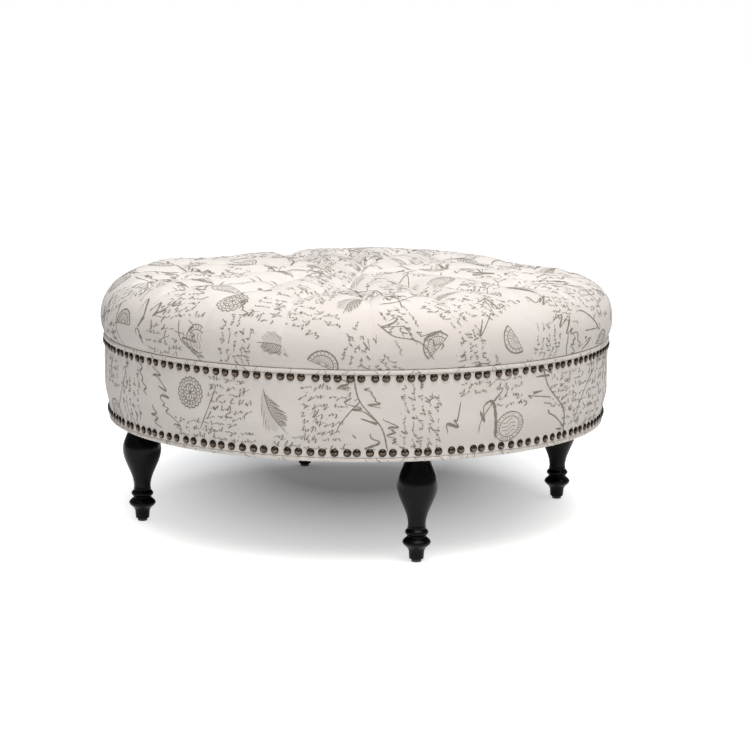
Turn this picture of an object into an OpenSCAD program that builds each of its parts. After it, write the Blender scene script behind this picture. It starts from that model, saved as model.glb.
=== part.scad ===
// Round tufted ottoman on four turned legs, in millimetres.
// The origin is on the floor under the middle, +Z is up, and the legs stand on the diagonals.

/* [Legs] */
// Height of the legs, from the floor to the underside of the upholstery
leg_h = 177; // [150:1:230]
// How far a leg's middle stands in from the frame's edge
leg_inset = 44.5; // [41:0.5:57]
// Radius of the leg's widest part, the vase
belly_r = 33.5; // [28:0.5:38]
// Radius of the neck under the vase
neck_r = 14.5; // [12:0.5:18]
// Radius of the leg's head, against the frame
head_r = 20.5; // [17:0.5:26]
// Radius of the large bead
large_bead_r = 23.3; // [19:0.5:28]
// Radius of the small bead
small_bead_r = 19.3; // [17:0.5:24]
// Radius of the foot at its lower edge
foot_r = 12; // [10:0.5:14]
// Height of the vase's widest part above the floor
belly_z = 129; // [105:1:140]
// Height of the large bead's middle
large_bead_z = 33; // [30:0.5:35]
// Height of the small bead's middle
small_bead_z = 49.5; // [48:0.5:52]

/* [Glides] */
// Radius of each nail-on glide
glide_r = 8.4; // [6:0.2:10]
// Height of each glide
glide_h = 5; // [3:0.5:8]
// Diameter of the glide's pin
glide_pin_d = 2.4; // [1.8:0.1:4]

/* [Frame] */
// Width of the base ring
base_ring_w = 95; // [80:1:120]
// Thickness of the base ring
base_ring_t = 18; // [15:1:21]
// Height of the posts between the base ring and the deck
post_h = 108.4; // [90:0.2:160]
// Width of a post, along the rim
post_w = 38; // [30:1:50]
// Depth of a post, towards the middle
post_d = 60; // [48:1:80]
// Number of posts
post_n = 8; // [8:4:12]
// How far the deck's edge lies inside the band's face
deck_inset = 5; // [4.5:0.5:8]
// Thickness of the deck board
deck_t = 15; // [12:1:18]
// Thickness of the bent side panel
panel_t = 4.6; // [3:0.2:6]
// Clearance left between pieces that lie against each other
fit_gap = 0.3; // [0.1:0.05:0.5]

/* [Leg fixings] */
// Side of each square leg block
block_w = 76; // [60:1:84]
// Thickness of each leg block
block_t = 24; // [18:1:32]
// Diameter of the hanger bolt
bolt_d = 8; // [6:0.5:10]
// Depth of the hanger bolt in the leg
bolt_in_leg = 42; // [30:1:48]
// Radius of the threaded insert's flange
insert_flange_r = 12.5; // [10:0.5:16]

/* [Band] */
// Outer radius of the band cover
band_r = 444; // [380:1:480]
// How far the cover is drawn in at the bottom
band_draw_in = 6.8; // [5:0.1:7]
// Thickness of the cover fabric
cover_t = 1.5; // [1:0.1:2]

/* [Piping] */
// Diameter of the upper piping
top_welt_d = 8; // [6:0.5:9]
// Diameter of the lower piping
bottom_welt_d = 7; // [6:0.5:7]
// Thickness of the piping's fabric
welt_wall = 1; // [0.6:0.1:1.4]

/* [Nails] */
// Diameter of a nail's domed head
nail_d = 12; // [9:0.5:14]
// Height of a nail's dome
nail_dome_h = 4; // [2.5:0.1:5]
// Mean distance from nail to nail along the rim
nail_pitch = 19; // [16:0.5:30]
// How far a nail strays from even spacing, as a share of the pitch
nail_stray = 0.13; // [0:0.01:0.16]
// Side of a nail's square shank
nail_shank = 1.6; // [1.2:0.1:2]
// Length of a nail's shank
nail_len = 16; // [12:0.5:20]

/* [Crown] */
// Height of the crown above the upper piping
crown_h = 113.7; // [90:0.5:130]
// How far the crown's widest part stands out past the band
bulge_out = 8.3; // [4:0.1:12]
// Height of the widest part above the upper piping
bulge_up = 33; // [24:1:40]
// Width of the rounded shoulder, from the flat top to the widest part
shoulder_w = 112; // [90:1:118]
// Fullness of the shoulder's curve: 2 is an ellipse
shoulder_power = 2.3; // [2:0.1:2.8]
// Thickness of the wadding under the crown cover
batting_t = 6; // [4:0.5:8]

/* [Tufting] */
// Number of buttons in the inner ring; the outer ring has twice as many
inner_buttons = 10; // [8:1:12]
// Radius of the inner ring of buttons
inner_tuft_r = 165; // [150:1:180]
// Distance from the outer ring of buttons to the edge of the flat top
tuft_margin = 25.3; // [18:0.1:50]
// Turn of the whole tufting about the middle, in degrees
tuft_turn = 15; // [0:0.5:36]
// Depth of a button below the tops of the puffs
tuft_depth = 38; // [28:1:44]
// Depth of the folds halfway between two buttons
fold_depth = 20; // [10:1:26]
// Depth of the rim pleats on the shoulder
pleat_depth = 14; // [8:1:18]
// Depth of the rim pleats at the crown's widest part
side_pleat_depth = 3; // [1:0.5:5]
// Diameter of a covered button
button_d = 20; // [16:1:22]
// Height of a covered button
button_h = 8; // [6:0.5:11]
// Diameter of the tufting twine
twine_d = 2; // [1.5:0.1:3]

/* [Dust cover and staples] */
// Thickness of the dust cover
dust_t = 0.8; // [0.5:0.1:1]
// Width of a staple
staple_w = 10; // [8:0.5:12]
// Length of a staple's legs
staple_leg = 7; // [5:0.5:9]
// Thickness of the staple wire
staple_wire = 0.8; // [0.6:0.1:1]

/* [Hidden] */

ring_fn = 180;
turned_fn = 64;
small_fn = 24;
through = 1;

// Colours, as the object shows them
lacquer = [0.11, 0.10, 0.11];
linen = [0.86, 0.82, 0.78];
bronze = [0.31, 0.26, 0.20];
plywood = [0.76, 0.62, 0.43];
steel = [0.72, 0.73, 0.75];
wadding = [0.95, 0.95, 0.93];

// Levels, from the floor up
dust_z = leg_h;
lip_z = dust_z + dust_t;
base_ring_z = lip_z + dust_t;
post_z = base_ring_z + base_ring_t;
deck_z = post_z + post_h;
deck_top = deck_z + deck_t;
bottom_welt_z = leg_h + bottom_welt_d / 2;
band_bottom = leg_h + bottom_welt_d + fit_gap;
top_welt_z = deck_top + top_welt_d / 2 - 2;
band_top = top_welt_z - top_welt_d / 2 - fit_gap;
crown_z = top_welt_z + top_welt_d / 2 + fit_gap;
crown_top = crown_z + crown_h;
bulge_z = crown_z + bulge_up;
upper_nail_z = deck_z + deck_t / 2 + 0.5;
lower_nail_z = band_bottom + nail_d / 2 + 1.9;

// Radii of the layers of the band
drawn_r = band_r - band_draw_in;
panel_r = drawn_r - cover_t - fit_gap;
panel_bottom = band_bottom + cover_t + fit_gap;
base_ring_r = panel_r - panel_t - fit_gap;
leg_circle_r = base_ring_r - leg_inset;
deck_r = band_r - deck_inset;
bulge_r = band_r + bulge_out;
outer_tuft_r = bulge_r - shoulder_w - tuft_margin;
bottom_welt_r = base_ring_r + fit_gap + bottom_welt_d / 2 + 0.2;
top_welt_r = band_r - 1;
ease_start = lower_nail_z + 2;
ease_end = ease_start + 46;
padding_bottom = ease_start + 16;
padding_top = deck_top - 6;

leg_angles = [225, 315, 135, 45];
post_turn = 180 / post_n;

tufts_out = 2 * inner_buttons;
step_out = 360 / tufts_out;
step_in = 360 / inner_buttons;
seat_r = button_d / 2 + 2;
seat_flat = seat_r * 1.5;
seat_z = crown_top - tuft_depth;

// A share from 0 to 1 that starts and ends level
function ease(t) = (1 - cos(180 * t)) / 2;
// A repeatable number between -1 and 1 for each whole number
function stray(i) = 2 * (sin(i * 78.233 + 37.7) * 437.585 % 1) - (sin(i * 78.233 + 37.7) > 0 ? 1 : -1);

// Points of an eased curve from [radius, height] a to b
function eased_curve(a, b, n) =
    [for (i = [0:n]) [a[0] + (b[0] - a[0]) * ease(i / n), a[1] + (b[1] - a[1]) * i / n]];

// Points of a turned bead round a middle height, from its lower to its upper edge
function bead(mid_z, half_h, base_r, peak_r, n) =
    [for (i = [-n:n]) [base_r + (peak_r - base_r) * pow(cos(90 * i / n), 1.3), mid_z + half_h * i / n]];

groove_r = 15.2;
groove_z = large_bead_z + 10;
neck_z = small_bead_z + 12.5;

function leg_outline() = concat(
    [[0, glide_h], [foot_r - 1, glide_h], [foot_r, glide_h + 2], [foot_r + 1, large_bead_z - 14]],
    bead(large_bead_z, groove_z - large_bead_z, groove_r, large_bead_r, 8),
    bead(small_bead_z, small_bead_z - groove_z, groove_r, small_bead_r, 6),
    eased_curve([groove_r, neck_z - 5], [neck_r, neck_z], 3),
    eased_curve([neck_r, neck_z], [belly_r, belly_z], 14),
    eased_curve([belly_r, belly_z], [head_r, leg_h], 12),
    [[0, leg_h]]);

glide_pin_h = 12;
bolt_play = 0.15;

module leg() {
    color(lacquer)
    difference() {
        rotate_extrude($fn = turned_fn) polygon(leg_outline());
        translate([0, 0, glide_h - through])
            cylinder(d = glide_pin_d + 2 * bolt_play, h = glide_pin_h + through + 1, $fn = small_fn);
        translate([0, 0, leg_h - bolt_in_leg - 1])
            cylinder(d = bolt_d + 2 * bolt_play, h = bolt_in_leg + 1 + through, $fn = small_fn);
    }
}

// Puts its children at the place of one leg
module at_leg(i) {
    rotate([0, 0, leg_angles[i]]) translate([leg_circle_r, 0, 0]) children();
}

module leg_front_left() { at_leg(0) leg(); }
module leg_front_right() { at_leg(1) leg(); }
module leg_back_left() { at_leg(2) leg(); }
module leg_back_right() { at_leg(3) leg(); }

glide_edge = 1.2;

module foot_glides() {
    color("dimgray")
    for (i = [0:3])
        at_leg(i) {
            rotate_extrude($fn = turned_fn / 2)
                polygon([[0, 0], [glide_r - glide_edge, 0], [glide_r - glide_edge * 0.3, glide_edge * 0.3],
                         [glide_r, glide_edge], [glide_r, glide_h - glide_edge],
                         [glide_r - glide_edge, glide_h], [0, glide_h]]);
            translate([0, 0, glide_h - glide_edge])
                cylinder(d = glide_pin_d, h = glide_pin_h + glide_edge, $fn = small_fn);
        }
}

block_z = post_z;
insert_t = 1.6;
insert_wall = 1.4;
insert_depth = 11;
insert_z = block_z + block_t;
bolt_above = 4;

module hanger_bolts() {
    bolt_tip = 3;
    bolt_bottom = leg_h - bolt_in_leg;
    bolt_top = insert_z + insert_t + bolt_above;
    color(steel)
    for (i = [0:3])
        at_leg(i)
            rotate_extrude($fn = small_fn)
                polygon([
                    [0, bolt_bottom], [bolt_d / 8, bolt_bottom], [bolt_d / 2, bolt_bottom + bolt_tip * 2],
                    [bolt_d / 2, bolt_top - 1], [bolt_d / 2 - 1, bolt_top], [0, bolt_top]]);
}

module leg_inserts() {
    bore_r = bolt_d / 2 + bolt_play;
    color(steel)
    for (i = [0:3])
        at_leg(i)
            rotate_extrude($fn = small_fn)
                polygon([[bore_r, insert_z - insert_depth], [bore_r + insert_wall, insert_z - insert_depth],
                         [bore_r + insert_wall, insert_z], [insert_flange_r, insert_z],
                         [insert_flange_r, insert_z + insert_t], [bore_r, insert_z + insert_t]]);
}

module leg_blocks() {
    insert_hole_d = bolt_d + 2 * (bolt_play + insert_wall + bolt_play);
    color(plywood)
    for (i = [0:3])
        at_leg(i)
            difference() {
                translate([-block_w / 2, -block_w / 2, block_z]) cube([block_w, block_w, block_t]);
                translate([0, 0, block_z - through])
                    cylinder(d = bolt_d + 1, h = block_t + 2 * through, $fn = small_fn);
                translate([0, 0, insert_z - insert_depth - 1])
                    cylinder(d = insert_hole_d, h = insert_depth + 1 + through, $fn = small_fn);
            }
}

// Wood screws that hold the posts, two at each end
screw_d = 4.5;
screw_head_d = 9;
screw_len = 45;
screw_spread = 24;
screw_r = base_ring_r - post_d / 2;

module screw_body(grow) {
    head_h = (screw_head_d - screw_d) / 2;
    rotate_extrude($fn = small_fn)
        polygon([[0, 0], [screw_head_d / 2 + grow, 0], [screw_d / 2 + grow, head_h + grow],
                 [screw_d / 2 + grow, screw_len - 6], [grow, screw_len + grow], [0, screw_len + grow]]);
}

// Places the screws' heads at a level, pointing up or down
module at_screws(level, up) {
    for (p = [0:post_n - 1])
        for (side = [-1, 1])
            rotate([0, 0, post_turn + 360 * p / post_n])
                translate([screw_r + side * screw_spread / 2, 0, level])
                    rotate([up ? 0 : 180, 0, 0]) children();
}

module frame_screws() {
    color(steel) {
        at_screws(base_ring_z, true) screw_body(0);
        at_screws(deck_top, false) screw_body(0);
    }
}

module screw_holes() {
    at_screws(base_ring_z, true) screw_body(bolt_play);
    at_screws(deck_top, false) screw_body(bolt_play);
}

// One decorative nail, its head's flat side at x = 0 and its shank towards -x
nail_rim = 0.7;
nail_cap_h = nail_dome_h - nail_rim;
nail_dome_r = (pow(nail_d / 2, 2) + pow(nail_cap_h, 2)) / (2 * nail_cap_h);

module nail() {
    rotate([0, 90, 0])
        rotate_extrude($fn = small_fn)
            intersection() {
                translate([0, nail_dome_h - nail_dome_r]) circle(r = nail_dome_r, $fn = 4 * small_fn);
                square([nail_d / 2 - 0.05, nail_dome_h]);
            }
    translate([-nail_len, -nail_shank / 2, -nail_shank / 2])
        cube([nail_len + nail_rim, nail_shank, nail_shank]);
}

module nail_hole() {
    play = 0.1;
    side = nail_shank + 2 * play;
    translate([-nail_len - play, -side / 2, -side / 2]) cube([nail_len + through + play, side, side]);
}

// Puts its children at each nail of a row of the given radius
module at_nails(row_r, row_z, seed) {
    count = round(2 * PI * row_r / nail_pitch);
    for (i = [0:count - 1])
        rotate([0, 0, 360 / count * (i + nail_stray * stray(i + seed))])
            translate([row_r, 0, row_z]) children();
}

upper_seed = 11;
lower_seed = 503;

module at_upper_nails() { at_nails(band_r, upper_nail_z, upper_seed) children(); }
module at_lower_nails() { at_nails(drawn_r, lower_nail_z, lower_seed) children(); }

module upper_nails() { color(bronze) at_upper_nails() nail(); }
module lower_nails() { color(bronze) at_lower_nails() nail(); }

// One staple, its crown's inner side at z = 0 and its legs up
module staple(grow = 0) {
    translate([-staple_w / 2 - grow, -staple_wire / 2 - grow, -staple_wire - grow])
        cube([staple_w + 2 * grow, staple_wire + 2 * grow, staple_wire + grow]);
    leg_x = (staple_w - staple_wire) / 2;
    for (side = [-1, 1])
        translate([side * leg_x - staple_wire / 2 - grow, -staple_wire / 2 - grow, -staple_wire])
            cube([staple_wire + 2 * grow, staple_wire + 2 * grow, staple_wire + staple_leg + grow]);
}

dust_r = base_ring_r - 4;
dust_staple_r = base_ring_r - 16;
dust_staple_n = 32;
welt_staple_n = 36;
slot_grow = 0.1;

module at_dust_staples() {
    for (i = [0:dust_staple_n - 1])
        rotate([0, 0, 360 * (i + 0.5) / dust_staple_n])
            translate([dust_staple_r, 0, dust_z]) rotate([0, 0, 90]) children();
}

// The lip's staples point inwards, into the deck's edge
lip_r = deck_r + fit_gap;
lip_t = 1.2;
staple_lift = 0.05;
welt_staple_z = deck_top - 2.5;
welt_lip_bottom = welt_staple_z - 2;

module at_welt_staples() {
    for (i = [0:welt_staple_n - 1])
        rotate([0, 0, 360 * (i + 0.5) / welt_staple_n])
            translate([lip_r + lip_t + staple_lift, 0, welt_staple_z])
                rotate([0, -90, 0]) rotate([0, 0, 90]) children();
}

module dust_cover_staples() { color(steel) at_dust_staples() staple(); }
module welt_staples() { color(steel) at_welt_staples() staple(); }

module dust_cover() {
    color("black")
    difference() {
        translate([0, 0, dust_z]) cylinder(r = dust_r, h = dust_t, $fn = ring_fn);
        for (i = [0:3])
            at_leg(i)
                translate([0, 0, dust_z - through])
                    cylinder(d = bolt_d + 1, h = dust_t + 2 * through, $fn = small_fn);
        at_dust_staples() staple(slot_grow);
    }
}

module base_ring() {
    color(plywood)
    difference() {
        translate([0, 0, base_ring_z]) cylinder(r = base_ring_r, h = base_ring_t, $fn = ring_fn);
        translate([0, 0, base_ring_z - through])
            cylinder(r = base_ring_r - base_ring_w, h = base_ring_t + 2 * through, $fn = ring_fn);
        for (i = [0:3])
            at_leg(i)
                translate([0, 0, base_ring_z - through])
                    cylinder(d = bolt_d + 1, h = base_ring_t + 2 * through, $fn = small_fn);
        screw_holes();
        at_dust_staples() staple(slot_grow);
        at_lower_nails() nail_hole();
    }
}

module frame_posts() {
    color([0.85, 0.74, 0.55])
    difference() {
        intersection() {
            for (p = [0:post_n - 1])
                rotate([0, 0, post_turn + 360 * p / post_n])
                    translate([base_ring_r - post_d, -post_w / 2, post_z]) cube([post_d, post_w, post_h]);
            translate([0, 0, post_z]) cylinder(r = base_ring_r, h = post_h, $fn = ring_fn);
        }
        screw_holes();
    }
}

// Places of the tufts, as [radius, angle]
function tuft_places() = concat(
    [[0, 0]],
    [for (k = [0:inner_buttons - 1]) [inner_tuft_r, tuft_turn + step_out * 1.5 + step_in * k]],
    [for (k = [0:tufts_out - 1]) [outer_tuft_r, tuft_turn + step_out * (k + 1)]]);

module at_tufts() {
    for (p = tuft_places())
        rotate([0, 0, p[1]]) translate([p[0], 0, 0]) children();
}

twine_hole_d = twine_d + 2;

module twine_holes(from_z, to_z) {
    at_tufts() translate([0, 0, from_z]) cylinder(d = twine_hole_d, h = to_z - from_z, $fn = small_fn);
}

module deck_board() {
    color(plywood)
    difference() {
        translate([0, 0, deck_z]) cylinder(r = deck_r, h = deck_t, $fn = ring_fn);
        twine_holes(deck_z - through, deck_top + through);
        screw_holes();
        at_twine_staples() staple(slot_grow);
        at_welt_staples() staple(slot_grow);
        at_upper_nails() nail_hole();
    }
}

module side_panel() {
    panel_inner = base_ring_r + fit_gap;
    color([0.55, 0.42, 0.28])
    difference() {
        rotate_extrude($fn = ring_fn)
            polygon([[panel_inner, panel_bottom], [panel_r, panel_bottom],
                     [panel_r, deck_z - fit_gap], [panel_inner, deck_z - fit_gap]]);
        at_lower_nails() nail_hole();
    }
}

// Outer side of the band from its drawn-in bottom to its top, set in by a given depth
function band_line(inset, from_z, to_z) =
    let (steps = 10)
    concat(
        from_z < ease_start ? [[drawn_r - inset, from_z]] : [],
        [for (i = [0:steps])
            let (z = ease_start + (ease_end - ease_start) * i / steps)
            if (z > from_z - 0.01) [drawn_r + band_draw_in * ease(i / steps) - inset, z]],
        [[band_r - inset, to_z]]);

module side_padding() {
    inner_r = panel_r + fit_gap;
    step_r = deck_r + fit_gap;
    color(wadding)
    difference() {
        rotate_extrude($fn = ring_fn)
            polygon(concat([[inner_r, padding_bottom]],
                           band_line(cover_t + fit_gap, padding_bottom, padding_top),
                           [[step_r, padding_top], [step_r, deck_z - fit_gap], [inner_r, deck_z - fit_gap]]));
        at_upper_nails() nail_hole();
    }
}

module side_cover() {
    outer = band_line(0, band_bottom, band_top);
    inner = band_line(cover_t, band_bottom + cover_t, band_top);
    color(linen)
    difference() {
        rotate_extrude($fn = ring_fn)
            polygon(concat([[base_ring_r + fit_gap + 0.4, band_bottom]], outer,
                           [for (i = [len(inner) - 1:-1:0]) inner[i]],
                           [[base_ring_r + fit_gap + 0.4, band_bottom + cover_t]]));
        at_upper_nails() nail_hole();
        at_lower_nails() nail_hole();
    }
}

// Piping: a tube of fabric, with its sewn lip as a flat child shape, and a cord in it
module piping_round(ring_r, ring_z, d) {
    translate([ring_r, ring_z])
        polygon([for (a = [0:360 / small_fn:359]) d / 2 * [cos(a), sin(a)]]);
}

module piping(ring_r, ring_z, d) {
    rotate_extrude($fn = ring_fn)
        difference() {
            union() {
                piping_round(ring_r, ring_z, d);
                children();
            }
            piping_round(ring_r, ring_z, d - 2 * welt_wall);
        }
}

module piping_cord(ring_r, ring_z, d) {
    color("ivory")
    rotate_extrude($fn = ring_fn) piping_round(ring_r, ring_z, d - 2 * welt_wall - 2 * fit_gap);
}

module top_welt() {
    color(linen)
    difference() {
        piping(top_welt_r, top_welt_z, top_welt_d)
            polygon([[lip_r, welt_lip_bottom], [lip_r + lip_t, welt_lip_bottom],
                     [lip_r + lip_t, top_welt_z], [lip_r, top_welt_z]]);
        at_welt_staples() staple(slot_grow);
    }
}

module top_welt_cord() { piping_cord(top_welt_r, top_welt_z, top_welt_d); }

module bottom_welt() {
    lip_inner = base_ring_r - 26;
    color(linen)
    difference() {
        piping(bottom_welt_r, bottom_welt_z, bottom_welt_d)
            polygon([[lip_inner, lip_z], [bottom_welt_r - 1, lip_z],
                     [bottom_welt_r - 1, base_ring_z], [lip_inner, base_ring_z]]);
        at_dust_staples() staple(slot_grow);
    }
}

module bottom_welt_cord() { piping_cord(bottom_welt_r, bottom_welt_z, bottom_welt_d); }

// How far the tufting pulls the top down at a place in the flat of the crown
function tuft_drop(r, a) =
    let (from_inner = abs((a - tuft_turn - step_out * 1.5 + 10 * 360 + step_in / 2) % step_in - step_in / 2),
         p = [r * cos(from_inner), r * sin(from_inner)],
         inner = [inner_tuft_r, 0],
         outer = outer_tuft_r * [cos(step_out / 2), sin(step_out / 2)],
         to_button = min(r, norm(p - inner), norm(p - outer)),
         to_fold = min(segment_gap(p, [0, 0], inner), segment_gap(p, inner, outer),
                       segment_gap(p, outer, outer * 2)))
    max(tuft_depth * falloff(to_button - seat_flat, 18), fold_depth * falloff(to_fold, 20));

function falloff(d, width) = d <= 0 ? 1 : exp(-pow(d / width, 2));

// Distance from p to the straight line between a and b
function segment_gap(p, a, b) =
    let (t = max(0, min(1, (p - a) * (b - a) / ((b - a) * (b - a)))))
    norm(p - a - t * (b - a));

// The crown's shoulder, from its widest part at t = 0 to the flat top at t = 90
function shoulder(t) = [
    bulge_r - shoulder_w * (1 - pow(cos(t), 2 / shoulder_power)),
    bulge_z + (crown_top - bulge_z) * pow(sin(t), 2 / shoulder_power)];

// Angles of a ring of points: a pattern repeated round the circle
function around(pattern, step) =
    [for (k = [0:round(360 / step) - 1]) for (p = pattern) tuft_turn + p + step * k];

// The angle that a length along the rim takes up
function span(length, r) = length / r * 180 / PI;

fold_mid_r = (inner_tuft_r + outer_tuft_r) / 2 - 5;
fold_half_a = step_out / 2 * 0.63;
middle_of_fold = step_out * 1.5;
// Radius where the puffs round the middle button start to fill
near_seat_r = seat_r * 2.8;

function side_pattern() = [step_out / 2, step_out];
function puff_pattern() = [step_out * 0.28, step_out * 0.72, step_out];
function outer_pattern(r) = [step_out / 2, step_out - span(seat_r, r), step_out + span(seat_r, r)];
function inner_pattern(r) = [
    step_out * 0.1, step_out * 0.9, middle_of_fold - span(seat_r, r), middle_of_fold + span(seat_r, r)];
function fold_pattern() = [
    step_out / 2, middle_of_fold - fold_half_a, middle_of_fold, middle_of_fold + fold_half_a];

// Rows of the rim: [[radius, height], lean of its outward direction, pleat depth, angles]
function rim_rows() = [
    [[top_welt_r + 0.5, crown_z], -28, side_pleat_depth * 0.3, around(side_pattern(), step_out)],
    [[bulge_r - 1.6, crown_z + bulge_up * 0.48], -12, side_pleat_depth * 0.7,
     around(side_pattern(), step_out)],
    [shoulder(0), 0, side_pleat_depth, around(side_pattern(), step_out)],
    [shoulder(18), 20, pleat_depth * 0.4, around(puff_pattern(), step_out)],
    [shoulder(42), 47, pleat_depth * 0.7, around(puff_pattern(), step_out)],
    [shoulder(66), 72, pleat_depth, around(puff_pattern(), step_out)]];

// Rows of the flat top: [radius, angles]
function top_rows() = [
    [outer_tuft_r + seat_r, around(outer_pattern(outer_tuft_r + seat_r), step_out)],
    [outer_tuft_r - seat_r, around(outer_pattern(outer_tuft_r - seat_r), step_out)],
    [fold_mid_r, around(fold_pattern(), step_in)],
    [inner_tuft_r + seat_r, around(inner_pattern(inner_tuft_r + seat_r), step_in)],
    [inner_tuft_r - seat_r, around(inner_pattern(inner_tuft_r - seat_r), step_in)],
    [inner_tuft_r / 2, around([step_out / 2, middle_of_fold], step_in)],
    [near_seat_r, around([step_out / 2, middle_of_fold], step_in)],
    [seat_r, around([step_out / 2], step_in)]];

// Points of one rim row or top row, set in by a given depth
function rim_points(row, inset) =
    [for (a = row[3])
        let (in_pleat = falloff(row[0][0] * abs(sin((a - tuft_turn) * tufts_out / 2)) * 2 / tufts_out, 8),
             depth = inset + row[2] * in_pleat,
             r = row[0][0] - depth * cos(row[1]))
        [r * cos(a), r * sin(a), row[0][1] - depth * sin(row[1])]];

function top_points(row, inset) =
    [for (a = row[1]) [row[0] * cos(a), row[0] * sin(a), crown_top - tuft_drop(row[0], a) - inset]];

// A surface: its rings of points, with the angles of each ring
function surface_rings(inset) = concat(
    [for (row = rim_rows()) rim_points(row, inset)],
    [for (row = top_rows()) top_points(row, inset)]);

function ring_angles() = concat([for (row = rim_rows()) row[3]], [for (row = top_rows()) row[1]]);

// Triangles between two rings of points, by their angles
function turn_angle(angles, k) = angles[k % len(angles)] + 360 * floor(k / len(angles));

function band_faces(a, b, first_a, first_b, i = 0, j = 0) =
    let (n = len(a), m = len(b))
    i == n && j == m ? [] :
    let (to_next_a = i < n ? abs(turn_angle(a, i + 1) - turn_angle(b, j)) : 720,
         to_next_b = j < m ? abs(turn_angle(b, j + 1) - turn_angle(a, i)) : 720,
         step_a = to_next_a <= to_next_b)
    step_a
        ? concat([[first_a + (i + 1) % n, first_a + i % n, first_b + j % m]],
                 band_faces(a, b, first_a, first_b, i + 1, j))
        : concat([[first_b + (j + 1) % m, first_a + i % n, first_b + j % m]],
                 band_faces(a, b, first_a, first_b, i, j + 1));

function starts(rings, k) = k == 0 ? 0 : starts(rings, k - 1) + len(rings[k - 1]);

// Faces over a stack of rings, closed at the last ring by a flat cap
function sheet_faces(angles, first) =
    let (last = len(angles) - 1, cap = first + starts(angles, last), n = len(angles[last]))
    concat(
        [for (k = [0:last - 1])
            let (lower = first + starts(angles, k), upper = first + starts(angles, k + 1))
            for (f = band_faces(angles[k], angles[k + 1], lower, upper)) f],
        [for (k = [1:n - 2]) [cap, cap + k + 1, cap + k]]);

function turned_over(faces) = [for (f = faces) [f[2], f[1], f[0]]];
function flat(lists) = [for (l = lists) for (e = l) e];

// A ring of points at a height, with the angles of the crown's lower rows
function plain_ring(r, z, angles) = [for (a = angles) [r * cos(a), r * sin(a), z]];

// A soft shell between two depths under the crown's surface, with a lip of a given radius
module crown_shell(outer_inset, inner_inset, lip, lip_height) {
    angles = ring_angles();
    outer_angles = concat([angles[0]], angles);
    outer = concat([plain_ring(lip, lip_height, angles[0])], surface_rings(outer_inset));
    inner = surface_rings(inner_inset);
    inner_first = starts(outer, len(outer));
    polyhedron(
        points = concat(flat(outer), flat(inner)),
        faces = concat(
            sheet_faces(outer_angles, 0),
            turned_over(sheet_faces(angles, inner_first)),
            turned_over(band_faces(angles[0], angles[0], 0, inner_first))));
}

batting_inset = cover_t + fit_gap;
foam_inset = batting_inset + batting_t + fit_gap;

module crown_cover() {
    color(linen)
    difference() {
        crown_shell(0, cover_t, top_welt_r - 4.5, crown_z);
        twine_holes(seat_z - 10, crown_top);
    }
}

module crown_batting() {
    lip_rise = cover_t + 1;
    color(wadding)
    difference() {
        crown_shell(batting_inset, batting_inset + batting_t, top_welt_r - 7, crown_z + lip_rise);
        twine_holes(seat_z - 20, crown_top);
    }
}

module crown_foam() {
    angles = ring_angles();
    foot_angles = concat([angles[0]], angles);
    rings = concat([plain_ring(deck_r - 9, deck_top, angles[0])], surface_rings(foam_inset));
    n = len(angles[0]);
    color([0.93, 0.88, 0.66])
    difference() {
        polyhedron(
            points = flat(rings),
            faces = concat(sheet_faces(foot_angles, 0), [for (k = [1:n - 2]) [0, k, k + 1]]));
        twine_holes(deck_top - through, crown_top);
    }
}

// A covered button: a domed top, a shallow underside and a short shank
module button() {
    rim_z = 2.5;
    dome_h = button_h - rim_z;
    steps = 6;
    shank_r = twine_d / 2 + 0.4;
    translate([0, 0, seat_z + fit_gap])
        rotate_extrude($fn = small_fn)
            polygon(concat(
                [[0, -3], [shank_r, -3], [shank_r, 0], [button_d / 2 - 2.5, 0]],
                [for (a = [0:90 / steps:90]) [button_d / 2 * cos(a), rim_z + dome_h * sin(a)]]));
}

module tuft_buttons() { color(linen) at_tufts() button(); }

// The twine runs down to the deck's underside and along it, under its staple
twine_tail = 18;

module tufting_twine() {
    color("wheat")
    at_tufts() {
        translate([0, 0, deck_z - twine_d])
            cylinder(d = twine_d, h = seat_z + fit_gap - 3 - deck_z + twine_d, $fn = small_fn / 2 + 2);
        translate([0, 0, deck_z - twine_d / 2])
            rotate([0, 90, 0]) cylinder(d = twine_d, h = twine_tail, $fn = small_fn / 2 + 2);
    }
}

module at_twine_staples() {
    at_tufts() translate([twine_tail * 0.6, 0, deck_z - twine_d]) rotate([0, 0, 90]) children();
}

module twine_staples() { color(steel) at_twine_staples() staple(); }

leg_front_left();
leg_front_right();
leg_back_left();
leg_back_right();
foot_glides();
hanger_bolts();
leg_inserts();
leg_blocks();
base_ring();
frame_posts();
deck_board();
frame_screws();
side_panel();
side_padding();
side_cover();
top_welt();
top_welt_cord();
bottom_welt();
bottom_welt_cord();
upper_nails();
lower_nails();
crown_foam();
crown_batting();
crown_cover();
tuft_buttons();
tufting_twine();
twine_staples();
welt_staples();
dust_cover();
dust_cover_staples();
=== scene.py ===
"""Dresses the round tufted ottoman: printed linen, covered buttons, nails, piping and lacquered legs."""

import math
import random

import bpy
import numpy as np
from mathutils import Matrix, Vector


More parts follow.
